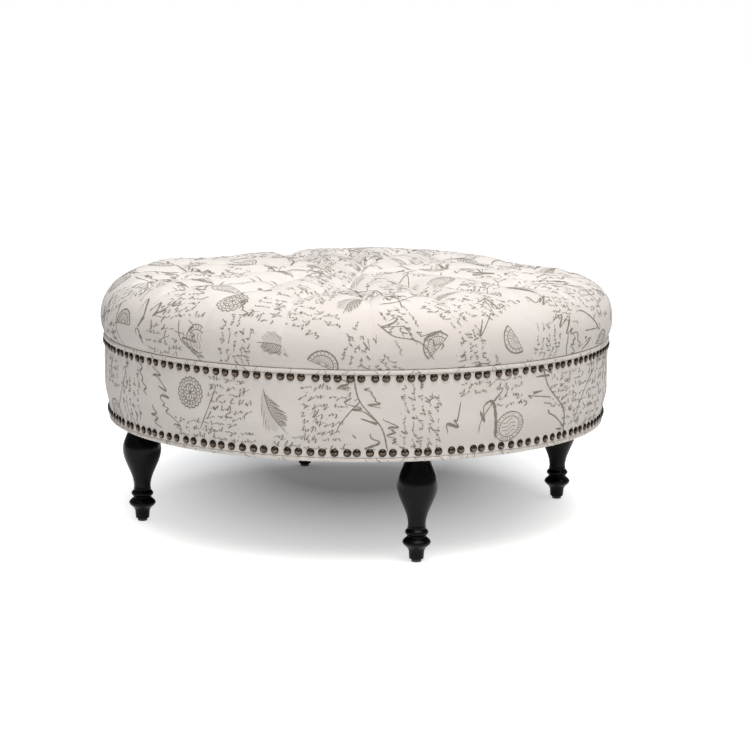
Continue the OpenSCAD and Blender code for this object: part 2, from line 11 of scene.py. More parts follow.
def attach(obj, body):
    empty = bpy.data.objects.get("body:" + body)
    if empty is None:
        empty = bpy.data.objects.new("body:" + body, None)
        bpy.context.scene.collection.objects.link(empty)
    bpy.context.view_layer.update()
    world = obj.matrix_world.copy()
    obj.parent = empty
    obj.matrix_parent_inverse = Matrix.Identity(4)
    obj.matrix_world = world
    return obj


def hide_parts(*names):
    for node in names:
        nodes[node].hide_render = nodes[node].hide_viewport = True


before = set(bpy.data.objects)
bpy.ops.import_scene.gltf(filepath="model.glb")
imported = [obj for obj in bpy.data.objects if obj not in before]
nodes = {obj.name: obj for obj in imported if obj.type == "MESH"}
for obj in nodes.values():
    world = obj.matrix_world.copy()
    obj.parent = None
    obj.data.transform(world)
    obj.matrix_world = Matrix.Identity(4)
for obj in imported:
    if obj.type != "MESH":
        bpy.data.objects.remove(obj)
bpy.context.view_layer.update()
MM = 0.001

# Sizes in millimetres, as the part's source has them
LEG_H = 177
LEG_CIRCLE_R = 386
LEG_ANGLES = {"leg_front_left": 225, "leg_front_right": 315, "leg_back_left": 135, "leg_back_right": 45}
BAND_R = 444
DRAWN_R = 437.2
BAND_BOTTOM = 184.3
BAND_TOP = 317.7
EASE_START = 194.2
EASE_END = 240.2
TOP_WELT = {"r": 443, "z": 322, "d": 8}
BOTTOM_WELT = {"r": 434.5, "z": 180.5, "d": 7}
CROWN_Z = 326.3
BULGE_Z = 359.3
BULGE_R = 452.3
FOOT_IN = 8.8
FOOT_POWER = 2.2
CROWN_TOP = 440
SHOULDER_W = 112
SHOULDER_POWER = 2.3
FLAT_R = BULGE_R - SHOULDER_W
INNER_TUFT_R = 165
OUTER_TUFT_R = 315
TUFT_TURN = 15
TUFT_DEPTH = 38
SEAT_Z = CROWN_TOP - TUFT_DEPTH
SECTOR = 18
SECTORS = 20
NAIL_D = 12
NAIL_DOME_H = 4
NAIL_HEAD_MORE = 0.6
NAIL_STRAY = 0.13
UPPER_NAILS = {"count": 147, "r": BAND_R, "z": 313.0, "seed": 11}
LOWER_NAILS = {"count": 145, "r": DRAWN_R, "z": 192.2, "seed": 503}
DUST_R = 426.5
DUST_T = 0.8
DUST_SAG = 0.35
DUST_RIPPLE = 0.06
CROWN_FOOT_R = 425.0
PANEL_IN_R = 435.8
PANEL_OUT_R = 439.6
DECK_UNDER_Z = 304.9

# How far ink stands proud of the cover, and how much its width varies
INK_PROUD = 0.3
INK_PATCHY = 0.34


# Node helpers
def add_node(tree, kind, values=None, **settings):
    node = tree.nodes.new(kind)
    for name, value in settings.items():
        setattr(node, name, value)
    for name, value in (values or {}).items():
        if isinstance(value, bpy.types.NodeSocket):
            tree.links.new(value, node.inputs[name])
        else:
            node.inputs[name].default_value = value
    return node


def math_node(tree, operation, a, b=0.0, c=0.0):
    return add_node(tree, "ShaderNodeMath", {0: a, 1: b, 2: c}, operation=operation).outputs[0]


def mix_colour(tree, share, a, b):
    return add_node(tree, "ShaderNodeMix", {0: share, 6: a, 7: b}, data_type="RGBA").outputs[2]


def between(tree, value, low, high, to_low=0.0, to_high=1.0):
    limits = {"Value": value, "From Min": low, "From Max": high, "To Min": to_low, "To Max": to_high}
    return add_node(tree, "ShaderNodeMapRange", limits).outputs[0]


def noise(tree, vector, scale, detail=2.0, roughness=0.5):
    values = {"Vector": vector, "Scale": scale, "Detail": detail, "Roughness": roughness}
    return add_node(tree, "ShaderNodeTexNoise", values).outputs[0]


def bump(tree, height, strength, distance):
    values = {"Height": height, "Strength": strength, "Distance": distance}
    return add_node(tree, "ShaderNodeBump", values).outputs[0]


def stretched(tree, vector, scale):
    return add_node(tree, "ShaderNodeMapping", {"Vector": vector, "Scale": scale}).outputs[0]


def object_place(tree, scale=(1, 1, 1)):
    return stretched(tree, add_node(tree, "ShaderNodeTexCoord").outputs["Object"], scale)


# A shader group that takes a vector and the named numbers, and gives numbers
def new_group(name, numbers, results):
    tree = bpy.data.node_groups.new(name, "ShaderNodeTree")
    tree.interface.new_socket("Vector", in_out="INPUT", socket_type="NodeSocketVector")
    for label, value in numbers.items():
        socket = tree.interface.new_socket(label, in_out="INPUT", socket_type="NodeSocketFloat")
        socket.default_value = value
    for label in results:
        tree.interface.new_socket(label, in_out="OUTPUT", socket_type="NodeSocketFloat")
    into = tree.nodes.new("NodeGroupInput")
    out = tree.nodes.new("NodeGroupOutput")
    return tree, into.outputs, out.inputs


def use_group(tree, group, values):
    return add_node(tree, "ShaderNodeGroup", values, node_tree=group).outputs


# Plain weave: threads over and under each other, with slubs
def build_weave():
    tree, given, out = new_group("plain_weave", {"Threads": 1400.0, "Slubs": 0.3}, ["Height", "Tone"])
    parts = add_node(tree, "ShaderNodeSeparateXYZ", {0: given["Vector"]}).outputs
    wander = noise(tree, given["Vector"], 160.0, 1.0)
    ways = [math_node(tree, "MULTIPLY_ADD", parts[k], given["Threads"], wander) for k in (0, 1)]
    ridges = []
    for way in ways:
        turn = math_node(tree, "MULTIPLY", way, math.pi)
        ridges.append(math_node(tree, "ABSOLUTE", math_node(tree, "SINE", turn)))
    cell = math_node(tree, "ADD", *[math_node(tree, "FLOOR", way) for way in ways])
    over = math_node(tree, "ABSOLUTE", math_node(tree, "MODULO", cell, 2.0))
    warp_up = math_node(tree, "MULTIPLY", ridges[0], over)
    weft_up = math_node(tree, "MULTIPLY", ridges[1], math_node(tree, "SUBTRACT", 1.0, over))
    threads = math_node(tree, "ADD", warp_up, weft_up)
    slub = noise(tree, stretched(tree, given["Vector"], (1.0, 14.0, 1.0)), 90.0, 3.0)
    tree.links.new(math_node(tree, "MULTIPLY_ADD", slub, given["Slubs"], threads), out["Height"])
    tree.links.new(slub, out["Tone"])
    return tree


# Broad uneven tone, such as dye, patina and rubbed places
def build_mottle():
    tree, given, out = new_group("mottle", {"Broad": 6.0, "Fine": 120.0}, ["Broad", "Fine"])
    tree.links.new(noise(tree, given["Vector"], given["Broad"], 3.0), out["Broad"])
    tree.links.new(noise(tree, given["Vector"], given["Fine"], 4.0, 0.6), out["Fine"])
    return tree


# Long grain of wood, along the given vector's Z
def build_grain():
    tree, given, out = new_group("wood_grain", {"Rings": 60.0}, ["Grain", "Pores"])
    bent = noise(tree, given["Vector"], 4.0, 2.0)
    moved = add_node(tree, "ShaderNodeVectorMath", {0: given["Vector"], 1: bent}, operation="ADD").outputs[0]
    rings = add_node(
        tree,
        "ShaderNodeTexWave",
        {"Vector": moved, "Scale": given["Rings"], "Distortion": 3.0, "Detail": 2.0},
        wave_type="RINGS",
        rings_direction="Z",
    ).outputs[1]
    fine = stretched(tree, given["Vector"], (1.0, 1.0, 0.05))
    tree.links.new(rings, out["Grain"])
    tree.links.new(noise(tree, fine, 900.0, 3.0), out["Pores"])
    return tree


WEAVE = build_weave()
MOTTLE = build_mottle()
GRAIN = build_grain()


# Broad and fine noise at a place, at two scales
def mottled(tree, place, broad, fine):
    return use_group(tree, MOTTLE, {"Vector": place, "Broad": broad, "Fine": fine})


def new_material(name, **fixed):
    material = bpy.data.materials.new(name)
    material.use_nodes = True
    tree = material.node_tree
    shader = tree.nodes["Principled BSDF"]
    for label, value in fixed.items():
        shader.inputs[label.replace("_", " ")].default_value = value
    return material, tree, shader.inputs


def wire(tree, inputs, **sockets):
    for label, socket in sockets.items():
        tree.links.new(socket, inputs[label.replace("_", " ")])


def linen_material(name, light, dark):
    material, tree, inputs = new_material(name, Roughness=0.86, Sheen_Weight=0.12, Sheen_Roughness=0.5)
    place = add_node(tree, "ShaderNodeUVMap", uv_map="cloth").outputs[0]
    weave = use_group(tree, WEAVE, {"Vector": place, "Threads": 1350.0, "Slubs": 0.5})
    mottle = mottled(tree, place, 7.0, 260.0)
    cloth = mix_colour(tree, between(tree, mottle["Broad"], 0.3, 0.7), light, dark)
    flecked = mix_colour(tree, between(tree, weave["Tone"], 0.62, 0.8, 0.0, 0.3), cloth, dark)
    wire(tree, inputs, Base_Color=flecked, Normal=bump(tree, weave["Height"], 0.22, 0.0003))
    return material


def ink_material():
    material, tree, inputs = new_material("pen_ink", Roughness=0.8, Specular_IOR_Level=0.25)
    mottle = mottled(tree, object_place(tree), 25.0, 700.0)
    worn = between(tree, mottle["Fine"], 0.35, 0.75)
    colour = mix_colour(tree, worn, (0.230, 0.207, 0.172, 1), (0.360, 0.328, 0.278, 1))
    wire(tree, inputs, Base_Color=colour, Normal=bump(tree, mottle["Fine"], 0.1, 0.0002))
    return material


def lacquer_material():
    material, tree, inputs = new_material("black_lacquer", Specular_IOR_Level=0.11)
    place = object_place(tree)
    mottle = mottled(tree, place, 14.0, 300.0)
    grain = use_group(tree, GRAIN, {"Vector": place, "Rings": 40.0})
    colour = mix_colour(tree, mottle["Broad"], (0.0030, 0.0026, 0.0032, 1), (0.0052, 0.0045, 0.0054, 1))
    height = math_node(tree, "MULTIPLY_ADD", grain["Pores"], 0.6, mottle["Fine"])
    rough = between(tree, mottle["Fine"], 0.3, 0.8, 0.20, 0.25)
    wire(tree, inputs, Base_Color=colour, Roughness=rough, Normal=bump(tree, height, 0.008, 0.0003))
    return material


def bronze_material():
    material, tree, inputs = new_material("bronze_patina_and_painted_rim_shade", Metallic=0.9)
    mottle = mottled(tree, object_place(tree), 330.0, 1100.0)
    rubbed = between(tree, mottle["Broad"], 0.44, 0.60)
    colour = mix_colour(tree, rubbed, (0.050, 0.037, 0.027, 1), (0.150, 0.112, 0.084, 1))
    # Painted shade: the nail's rim and the outer part of its dome are mixed to near-black, and only the top
    # keeps the bronze
    dome = add_node(tree, "ShaderNodeAttribute", attribute_name="dome").outputs["Fac"]
    colour = mix_colour(tree, between(tree, dome, 0.35, 0.95), (0.009, 0.006, 0.005, 1), colour)
    rough = between(tree, mottle["Fine"], 0.3, 0.7, 0.12, 0.22)
    wire(tree, inputs, Base_Color=colour, Roughness=rough, Normal=bump(tree, mottle["Broad"], 0.35, 0.0006))
    return material


def wood_material(name, light, dark, rings, ply=False):
    material, tree, inputs = new_material(name, Roughness=0.62)
    place = object_place(tree, (1, 0.06, 1) if ply else (1, 1, 0.06))
    grain = use_group(tree, GRAIN, {"Vector": place, "Rings": rings})
    colour = mix_colour(tree, grain["Grain"], light, dark)
    colour = mix_colour(tree, between(tree, grain["Pores"], 0.55, 0.8, 0.0, 0.5), colour, dark)
    if ply:
        height = add_node(tree, "ShaderNodeSeparateXYZ", {0: object_place(tree)}).outputs[2]
        layer = math_node(tree, "SINE", math_node(tree, "MULTIPLY", height, 2400.0))
        colour = mix_colour(tree, between(tree, layer, 0.2, 0.9, 0.0, 0.35), colour, dark)
    wire(tree, inputs, Base_Color=colour, Normal=bump(tree, grain["Pores"], 0.25, 0.0004))
    return material


def steel_material(name, bright, dull):
    material, tree, inputs = new_material(name, Metallic=1.0)
    mottle = mottled(tree, object_place(tree), 60.0, 1200.0)
    colour = mix_colour(tree, mottle["Broad"], bright, dull)
    rough = between(tree, mottle["Fine"], 0.3, 0.7, 0.24, 0.42)
    wire(tree, inputs, Base_Color=colour, Roughness=rough, Normal=bump(tree, mottle["Fine"], 0.08, 0.0002))
    return material


def soft_material(name, light, dark, broad, fine, depth, rough=0.9):
    material, tree, inputs = new_material(name, Roughness=rough)
    mottle = mottled(tree, object_place(tree), broad, fine)
    colour = mix_colour(tree, between(tree, mottle["Fine"], 0.35, 0.7), (*light, 1), (*dark, 1))
    height = math_node(tree, "MULTIPLY_ADD", mottle["Broad"], 0.5, mottle["Fine"])
    wire(tree, inputs, Base_Color=colour, Normal=bump(tree, height, 0.4, depth))
    return material


MATERIALS = {
    "linen": linen_material("printed_linen", (0.838, 0.786, 0.748, 1), (0.772, 0.712, 0.667, 1)),
    "ink": ink_material(),
    "lacquer": lacquer_material(),
    "bronze": bronze_material(),
    "plywood": wood_material("birch_plywood", (0.62, 0.44, 0.26, 1), (0.42, 0.27, 0.14, 1), 18.0, True),
    "softwood": wood_material("pine", (0.70, 0.50, 0.28, 1), (0.48, 0.30, 0.14, 1), 30.0),
    "board": wood_material("panel_board", (0.34, 0.22, 0.12, 1), (0.24, 0.15, 0.08, 1), 8.0),
    "zinc": steel_material("zinc_plated", (0.62, 0.63, 0.66, 1), (0.45, 0.46, 0.50, 1)),
    "cambric": soft_material("black_cambric", (0.012, 0.012, 0.013), (0.03, 0.03, 0.032), 300, 1500, 0.0003),
    "glide": soft_material("glide_nylon", (0.05, 0.05, 0.052), (0.07, 0.07, 0.072), 40, 600, 0.0002, 0.45),
    "twine": soft_material("waxed_twine", (0.52, 0.40, 0.24), (0.36, 0.26, 0.15), 300, 1100, 0.0004, 0.6),
}


# Mesh helpers
def add_object(name, data):
    made = bpy.data.objects.new(name, data)
    bpy.context.scene.collection.objects.link(made)
    return made


def new_mesh(name, points, faces):
    mesh = bpy.data.meshes.new(name)
    mesh.from_pydata([tuple(p) for p in np.asarray(points) * MM], [], faces)
    mesh.shade_smooth()
    return mesh


def finish_piece(piece, replaces):
    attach(piece, "root")
    if replaces:
        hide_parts(*replaces)
    return piece


def new_piece(name, points, faces, material, replaces=(), cloth=None):
    mesh = new_mesh(name, points, faces)
    mesh.materials.append(MATERIALS[material])
    if cloth is not None:
        layer = mesh.uv_layers.new(name="cloth")
        layer.data.foreach_set("uv", np.asarray(cloth, dtype=np.float32).ravel())
    return finish_piece(add_object(name, mesh), replaces)


# Points at a radius, a turn in radians and a height
def polar(r, turn, z):
    return np.stack(np.broadcast_arrays(r * np.cos(turn), r * np.sin(turn), z), axis=-1)


def even_turns(columns):
    return np.arange(columns) * 2 * math.pi / columns


def lengths_along(line):
    return np.concatenate([[0], np.cumsum(np.linalg.norm(np.diff(line, axis=0), axis=1))])


# Faces of a sheet of columns round the middle and rows of a section, closed on itself where asked
def lathe_faces(columns, rows, closed_section):
    faces = []
    for j in range(rows if closed_section else rows - 1):
        k = (j + 1) % rows
        for i in range(columns):
            n = (i + 1) % columns
            faces.append((j * columns + i, j * columns + n, k * columns + n, k * columns + i))
    return faces


# Cloth coordinates of each corner of a closed lathe's faces, in metres round the rim and along the section
def lathe_cloth(columns, radius, section):
    step = 2 * math.pi * radius * MM / columns
    lengths = lengths_along(section + section[:1]) * MM
    cloth = []
    for low, high in zip(lengths, lengths[1:]):
        for i in range(columns):
            cloth += [(i * step, low), ((i + 1) * step, low), ((i + 1) * step, high), (i * step, high)]
    return cloth


# Points and faces of a closed shape: rings of points, with one point at either end
def capped_shape(rings, high, low):
    sides = len(rings[0])
    last = (len(rings) - 1) * sides
    points = np.concatenate([*rings, [high, low]])
    faces = lathe_faces(sides, len(rings), False)
    for i in range(sides):
        n = (i + 1) % sides
        faces.append((last + i, last + n, last + sides))
        faces.append((n, i, last + sides + 1))
    return points, faces


# Places of the tufts: [radius, angle in degrees]
TUFTS = [(0.0, 0.0)]
TUFTS += [(INNER_TUFT_R, TUFT_TURN + 1.5 * SECTOR + 2 * SECTOR * k) for k in range(SECTORS // 2)]
TUFTS += [(OUTER_TUFT_R, TUFT_TURN + SECTOR * (k + 1)) for k in range(SECTORS)]


# A nail's stray from its even place, by the rule of the part's source: -1 to 1
def stray(i):
    turn = math.sin(math.radians(i * 78.233 + 37.7))
    return 2 * math.fmod(turn * 437.585, 1) - (1 if turn > 0 else -1)


def nail_angles(row):
    return [360 / row["count"] * (i + NAIL_STRAY * stray(i + row["seed"])) for i in range(row["count"])]


# The crown's section, from the middle over the shoulder to the tucked edge, and its length from the middle
def crown_section():
    line = [(439.0, CROWN_Z + 2.2), (440.6, CROWN_Z + 0.9), (442.2, CROWN_Z + 0.2)]
    for z in np.linspace(CROWN_Z, BULGE_Z, 30):
        line.append((BULGE_R - FOOT_IN * ((BULGE_Z - z) / (BULGE_Z - CROWN_Z)) ** FOOT_POWER, z))
    for t in np.linspace(0, 90, 400)[1:]:
        fall = math.cos(math.radians(t)) if t < 90 else 0.0
        r = BULGE_R - SHOULDER_W * (1 - max(fall, 0) ** (2 / SHOULDER_POWER))
        z = BULGE_Z + (CROWN_TOP - BULGE_Z) * math.sin(math.radians(t)) ** (2 / SHOULDER_POWER)
        line.append((r, z))
    line = np.array(line + [(0.0, CROWN_TOP)])[::-1]
    return line, lengths_along(line)


SECTION, SECTION_LENGTH = crown_section()
RIM_LENGTH = SECTION_LENGTH[-1]


def section_at(length):
    return np.interp(length, SECTION_LENGTH, SECTION[:, 0]), np.interp(length, SECTION_LENGTH, SECTION[:, 1])


def section_normal(length):
    ahead = section_at(np.minimum(length + 1.5, RIM_LENGTH))
    behind = section_at(np.maximum(length - 1.5, 0))
    dr = ahead[0] - behind[0]
    dz = ahead[1] - behind[1]
    size = np.hypot(dr, dz)
    return -dz / size, dr / size


# The cover laid flat: x and y at a length from the middle and an angle in degrees
def flat_place(length, angle):
    a = np.radians(angle)
    return length * np.cos(a), length * np.sin(a)


def tuft_gap(length, angle):
    x, y = flat_place(length, angle)
    places = [flat_place(r, turn) for r, turn in TUFTS]
    return np.minimum.reduce([np.hypot(x - tuft_x, y - tuft_y) for tuft_x, tuft_y in places])


def gap_to_segment(px, py, a, b):
    bx = b[0] - a[0]
    by = b[1] - a[1]
    t = np.clip(((px - a[0]) * bx + (py - a[1]) * by) / (bx * bx + by * by), 0, 1)
    return np.hypot(px - a[0] - t * bx, py - a[1] - t * by)


def bell(x):
    return np.exp(-(x ** 2))


# Shape of a puff beside a fold: 1 in the fold, 0 where the puff is full
def puff_edge(gap, width):
    u = np.clip(gap / width, 0, 1)
    return 1 - np.sqrt(np.clip(1 - (1 - u) ** 2, 0, 1))


# The largest of some values, rounded off where two are alike
def soft_most(values, power=5):
    return sum(np.maximum(v, 0) ** power for v in values) ** (1 / power)


# Hand filling is uneven: how far each rim puff sags, and how deep each rim pleat is, from 15 degrees on
PUFF_SAG = [5, 6, 14, 8, 3, 2, 5, 8, 12, 2, 3, 4, 5, 3, 4, 5, 3, 4, 6, 5]
PLEAT_SHARE = [1, 0.9, 0.5, 1, 0.15, 0.1, 0.2, 1.3, 0.7, 0.2, 0.7, 1, 0.9, 1, 0.8, 1, 0.9, 1, 1, 1]

# A rim pleat's depth and half width, at shares of the way from the outer tufts to the rim
PLEAT_AT = [0, 0.12, 0.25, 0.36, 0.46, 0.56, 1]
PLEAT_DEPTH = [32, 21, 15, 9, 3, 0, 0]
PLEAT_HALF = [48, 46, 40, 30, 18, 8, 6]

# Folds between the tufts, deeper near a button, and the dimple that a button sits in
FOLD_HALF = 42
FOLD_DEPTH = 21
FOLD_MORE = 14
FOLD_MORE_WITHIN = 46
DIMPLE_FLOOR_R = 9
DIMPLE_HALF = 38

# The cloth's lap beside a pleat, and the small puckers round each button
LAP_DEPTH = 0.3
LAP_GAP = 3.2
LAP_HALF = 3.0
PUCKER_DEPTH = 0.75
PUCKER_R = 24
PUCKER_HALF = 15
DRIFT_DEPTH = 0.8

# Hollows where the filling is thin: [across, half width, from, to, depth], seen along the top's far side
HOLLOW_TURN = 29.4
HOLLOWS = [(-141, 18, 230, 380, 5.5), (285, 15, 110, 270, 5.5), (387, 13, -60, 90, 6.5)]

# The cloth simulation's grid over the cover, its nearest ring to the middle, and the most it may swell
SWELL_ROWS = 56
SWELL_COLUMNS = 240
SWELL_LEAST = 6.0
SWELL_MOST = 4.0
SWELL_ROOM = 3.2
SWELL_FRAMES = 20
BUTTON_HOLD_R = 15
PIN_LEAST = 0.02


def hollows(length, angle):
    across, along = flat_place(length, angle - HOLLOW_TURN)
    deep = np.zeros_like(across)
    for middle, half, start, end, depth in HOLLOWS:
        inside = np.clip((along - start) / 50 + 1, 0, 1) * np.clip((end - along) / 50 + 1, 0, 1)
        deep += depth * bell((across - middle) / half) * inside
    return deep


# One value for each sector of the rim, blended from one to the next
def round_rim(values, angle, start):
    turns = start + SECTOR * np.arange(SECTORS + 1)
    return np.interp((angle - start) % 360 + start, turns, values + values[:1])


# How far the tufting draws the cover in, at a length from the middle and an angle in degrees
def crown_draw(length, angle):
    r = section_at(length)[0]
    step = 2 * SECTOR
    turned = (angle - TUFT_TURN - 1.5 * SECTOR + step / 2) % step - step / 2
    from_inner = np.radians(np.abs(turned))
    x = length * np.cos(from_inner)
    y = length * np.sin(from_inner)
    inner = (INNER_TUFT_R, 0.0)
    half = math.radians(SECTOR / 2)
    outer = (OUTER_TUFT_R * math.cos(half), OUTER_TUFT_R * math.sin(half))
    to_outer = np.hypot(x - outer[0], y - outer[1])
    to_button = np.minimum(length, np.minimum(np.hypot(x - inner[0], y), to_outer))
    to_pleat = r * (from_inner - half)
    beyond = np.clip((length - OUTER_TUFT_R) / (RIM_LENGTH - OUTER_TUFT_R), 0, 1)
    outside = length > OUTER_TUFT_R
    pleat_gap = np.where(outside, np.abs(to_pleat), to_outer)
    fold = FOLD_DEPTH + FOLD_MORE * bell(to_button / FOLD_MORE_WITHIN)
    share = round_rim(PLEAT_SHARE, angle, TUFT_TURN)
    deep = np.interp(beyond, PLEAT_AT, PLEAT_DEPTH)
    pleat = deep * (share + (1 - share) * np.clip(1 - beyond / 0.12, 0, 1))
    pleat = pleat + np.interp(beyond, [0.3, 0.5, 0.7, 1], [0, 0.7, 0.35, 0.25])
    drop = soft_most([
        fold * puff_edge(gap_to_segment(x, y, (0, 0), inner), FOLD_HALF),
        fold * puff_edge(gap_to_segment(x, y, inner, outer), FOLD_HALF),
        pleat * puff_edge(pleat_gap, np.interp(beyond, PLEAT_AT, PLEAT_HALF)),
        TUFT_DEPTH * puff_edge(to_button - DIMPLE_FLOOR_R, DIMPLE_HALF),
    ])
    drop = np.minimum(drop, TUFT_DEPTH)
    sag = round_rim(PUFF_SAG, angle, TUFT_TURN + SECTOR / 2)
    sag = sag * np.interp(length, [INNER_TUFT_R + 15, OUTER_TUFT_R + 5, 400, 470], [0, 1, 0.9, 0])
    slack = SWELL_ROOM * np.clip((RIM_LENGTH - length) / 120, 0, 1)
    sag = (sag + slack + hollows(length, angle)) * (1 - drop / TUFT_DEPTH)
    lap = bell((np.abs(to_pleat) - LAP_GAP) / LAP_HALF)
    lap = lap * np.interp(beyond, [0, 0.25, 0.4], [0, LAP_DEPTH, 0])
    lapped = (turned > 0) == (to_pleat > 0)
    return drop + sag - np.where(lapped & outside, lap, 0)


# Small puckers that run out from the buttons and the folds
def crown_puckers(length, angle):
    x, y = flat_place(length, angle)
    total = np.zeros_like(x)
    rng = random.Random(71)
    for r, turn in TUFTS:
        tuft_x, tuft_y = flat_place(r, turn)
        far = np.hypot(x - tuft_x, y - tuft_y)
        way = np.arctan2(y - tuft_y, x - tuft_x)
        waves = rng.choice((11, 13, 15))
        phase = rng.uniform(0, 6.3)
        ripple = np.sin(waves * way + phase) + 0.5 * np.sin((waves + 6) * way - phase)
        total += PUCKER_DEPTH * ripple * bell((far - PUCKER_R) / PUCKER_HALF)
    drift = np.sin(x * 0.031 + 1.3) * np.sin(y * 0.027 + 0.4) + 0.6 * np.sin(x * 0.013 - y * 0.019)
    return total - DRIFT_DEPTH * drift * np.clip(1 - length / FLAT_R, 0, 1)


# How the filled cover moved in the simulation, once it has run: a grid of [outward, round, up] in mm
crown_swell = []


def swell_at(length, angle):
    inward = RIM_LENGTH - np.clip(length, SWELL_LEAST, RIM_LENGTH)
    row = inward / (RIM_LENGTH - SWELL_LEAST) * (SWELL_ROWS - 1)
    column = (angle % 360) / 360 * SWELL_COLUMNS
    j = np.minimum(row.astype(int), SWELL_ROWS - 2)
    i = column.astype(int) % SWELL_COLUMNS
    n = (i + 1) % SWELL_COLUMNS
    u = (column - np.floor(column))[..., None]
    v = (row - j)[..., None]
    grid = crown_swell[0]
    low = grid[j, i] * (1 - u) + grid[j, n] * u
    high = grid[j + 1, i] * (1 - u) + grid[j + 1, n] * u
    return low * (1 - v) + high * v


def crown_point(length, angle, proud=0.0):
    r, z = section_at(length)
    nr, nz = section_normal(length)
    nr = np.where(length < FLAT_R - 2, 0.0, nr)
    nz = np.where(length < FLAT_R - 2, 1.0, nz)
    fade = np.clip((RIM_LENGTH - length) / 12, 0, 1)
    depth = (crown_draw(length, angle) + crown_puckers(length, angle)) * fade - proud
    r = r - depth * nr
    z = z - depth * nz
    a = np.radians(angle)
    if crown_swell:
        swell = swell_at(length, angle)
        r = r + swell[..., 0]
        z = z + swell[..., 2]
        a = a + swell[..., 1] / np.maximum(r, 20)
    return polar(r, a, z)


# Held where the twine and the staples hold it: at the buttons, along the folds and at the rim
def crown_pins(length, angle):
    held = np.clip(crown_draw(length, angle) / 30, 0, 1) ** 1.5
    held = np.where(tuft_gap(length, angle) < BUTTON_HOLD_R, 1.0, held)
    return np.maximum(held, np.clip((length - RIM_LENGTH + 75) / 62, 0, 1) ** 1.5)


CROWN_CLOTH = {
    "quality": 4,
    "mass": 0.3,
    "tension_stiffness": 10,
    "compression_stiffness": 8,
    "shear_stiffness": 5,
    "bending_stiffness": 0.4,
    "vertex_group_mass": "pins",
    "use_pressure": True,
    "uniform_pressure_force": 40,
}


# The cover as cloth, blown up from inside by the filling's pressure
def simulate_crown():
    lengths = np.linspace(RIM_LENGTH, SWELL_LEAST, SWELL_ROWS)
    turns = np.arange(SWELL_COLUMNS) * 360 / SWELL_COLUMNS
    length, angle = [g.ravel() for g in np.meshgrid(lengths, turns, indexing="ij")]
    start = crown_point(length, angle)
    faces = lathe_faces(SWELL_COLUMNS, SWELL_ROWS, False)
    last = (SWELL_ROWS - 1) * SWELL_COLUMNS
    faces.append(tuple(last + i for i in range(SWELL_COLUMNS)))
    faces.append(tuple(reversed(range(SWELL_COLUMNS))))
    trial = add_object("crown_trial", new_mesh("crown_trial", start, faces))
    pins = trial.vertex_groups.new(name="pins")
    for k, held in enumerate(crown_pins(length, angle)):
        if held > PIN_LEAST:
            pins.add([k], float(held), "REPLACE")
    modifier = trial.modifiers.new("cloth", "CLOTH")
    for name, value in CROWN_CLOTH.items():
        setattr(modifier.settings, name, value)
    modifier.settings.effector_weights.gravity = 0
    modifier.collision_settings.use_collision = False
    modifier.point_cache.frame_start = 1
    modifier.point_cache.frame_end = SWELL_FRAMES
    for number in range(1, SWELL_FRAMES + 1):
        bpy.context.scene.frame_set(number)
    blown = trial.evaluated_get(bpy.context.evaluated_depsgraph_get())
    made = blown.to_mesh()
    place = np.empty(len(made.vertices) * 3)
    made.vertices.foreach_get("co", place)
    blown.to_mesh_clear()
    bpy.data.objects.remove(trial)
    bpy.context.scene.frame_set(1)
    move = place.reshape(-1, 3) / MM - start
    size = np.linalg.norm(move, axis=1)
    move *= (np.minimum(size, SWELL_MOST) / np.maximum(size, 1e-6))[:, None]
    a = np.radians(angle)
    outward = move[:, 0] * np.cos(a) + move[:, 1] * np.sin(a)
    round_way = move[:, 1] * np.cos(a) - move[:, 0] * np.sin(a)
    return np.stack([outward, round_way, move[:, 2]], axis=-1).reshape(SWELL_ROWS, SWELL_COLUMNS, 3)


crown_swell.append(simulate_crown())

# Where the columns of half a rim puff stand, as shares of it: close together at the pleat
COLUMN_SHARES = [0, 0.008, 0.02, 0.036, 0.06, 0.095, 0.14, 0.19, 0.245, 0.3]
COLUMN_SHARES += [0.36, 0.42, 0.48, 0.54, 0.6, 0.66, 0.72, 0.79, 0.89]


def column_angles():
    share = np.array(COLUMN_SHARES)
    one = np.concatenate([share, [1.0], 2 - share[1:][::-1]])
    return np.concatenate([TUFT_TURN + SECTOR * k + one * SECTOR / 2 for k in range(SECTORS)])


# Rings of the crown, [length from the middle, angles]: every second column goes where they get close
def crown_rings():
    angles = column_angles()
    tuck = np.linspace(RIM_LENGTH, RIM_LENGTH - 6, 4)
    side = np.linspace(RIM_LENGTH - 6, FLAT_R + 6, 46)[1:]
    top = np.linspace(FLAT_R + 6, 4, 88)[1:]
    rings = []
    every = 1
    for length in np.concatenate([tuck, side, top]):
        while length < 150 / every and every < 8:
            every *= 2
        rings.append((length, angles[::every]))
    return rings


# Faces between neighbouring rings, where the next has as many points or half of them
def stitch_rings(sizes):
    starts = [0] + list(np.cumsum(sizes))
    faces = []
    for a, b, n, m in zip(starts, starts[1:], sizes, sizes[1:]):
        for i in range(m):
            i2 = (i + 1) % m
            if n == m:
                faces.append((a + i, a + i2, b + i2, b + i))
            else:
                o0 = a + 2 * i
                o1 = a + (2 * i + 1) % n
                o2 = a + (2 * i + 2) % n
                faces += [(o0, o1, b + i), (o1, b + i2, b + i), (o1, o2, b + i2)]
    return faces, starts


# The angle of the middle of the rim puff that an angle is in
def puff_middle(angle):
    return (angle - TUFT_TURN) // SECTOR * SECTOR + TUFT_TURN + SECTOR / 2


def crown_cloth(length, turn):
    r = section_at(length)[0]
    pitch = puff_middle(turn.mean())
    wide = np.where(length > OUTER_TUFT_R, r / np.maximum(length, 1), 1.0)
    x, y = flat_place(length, pitch + (turn - pitch) * wide)
    return zip(x * MM, y * MM)


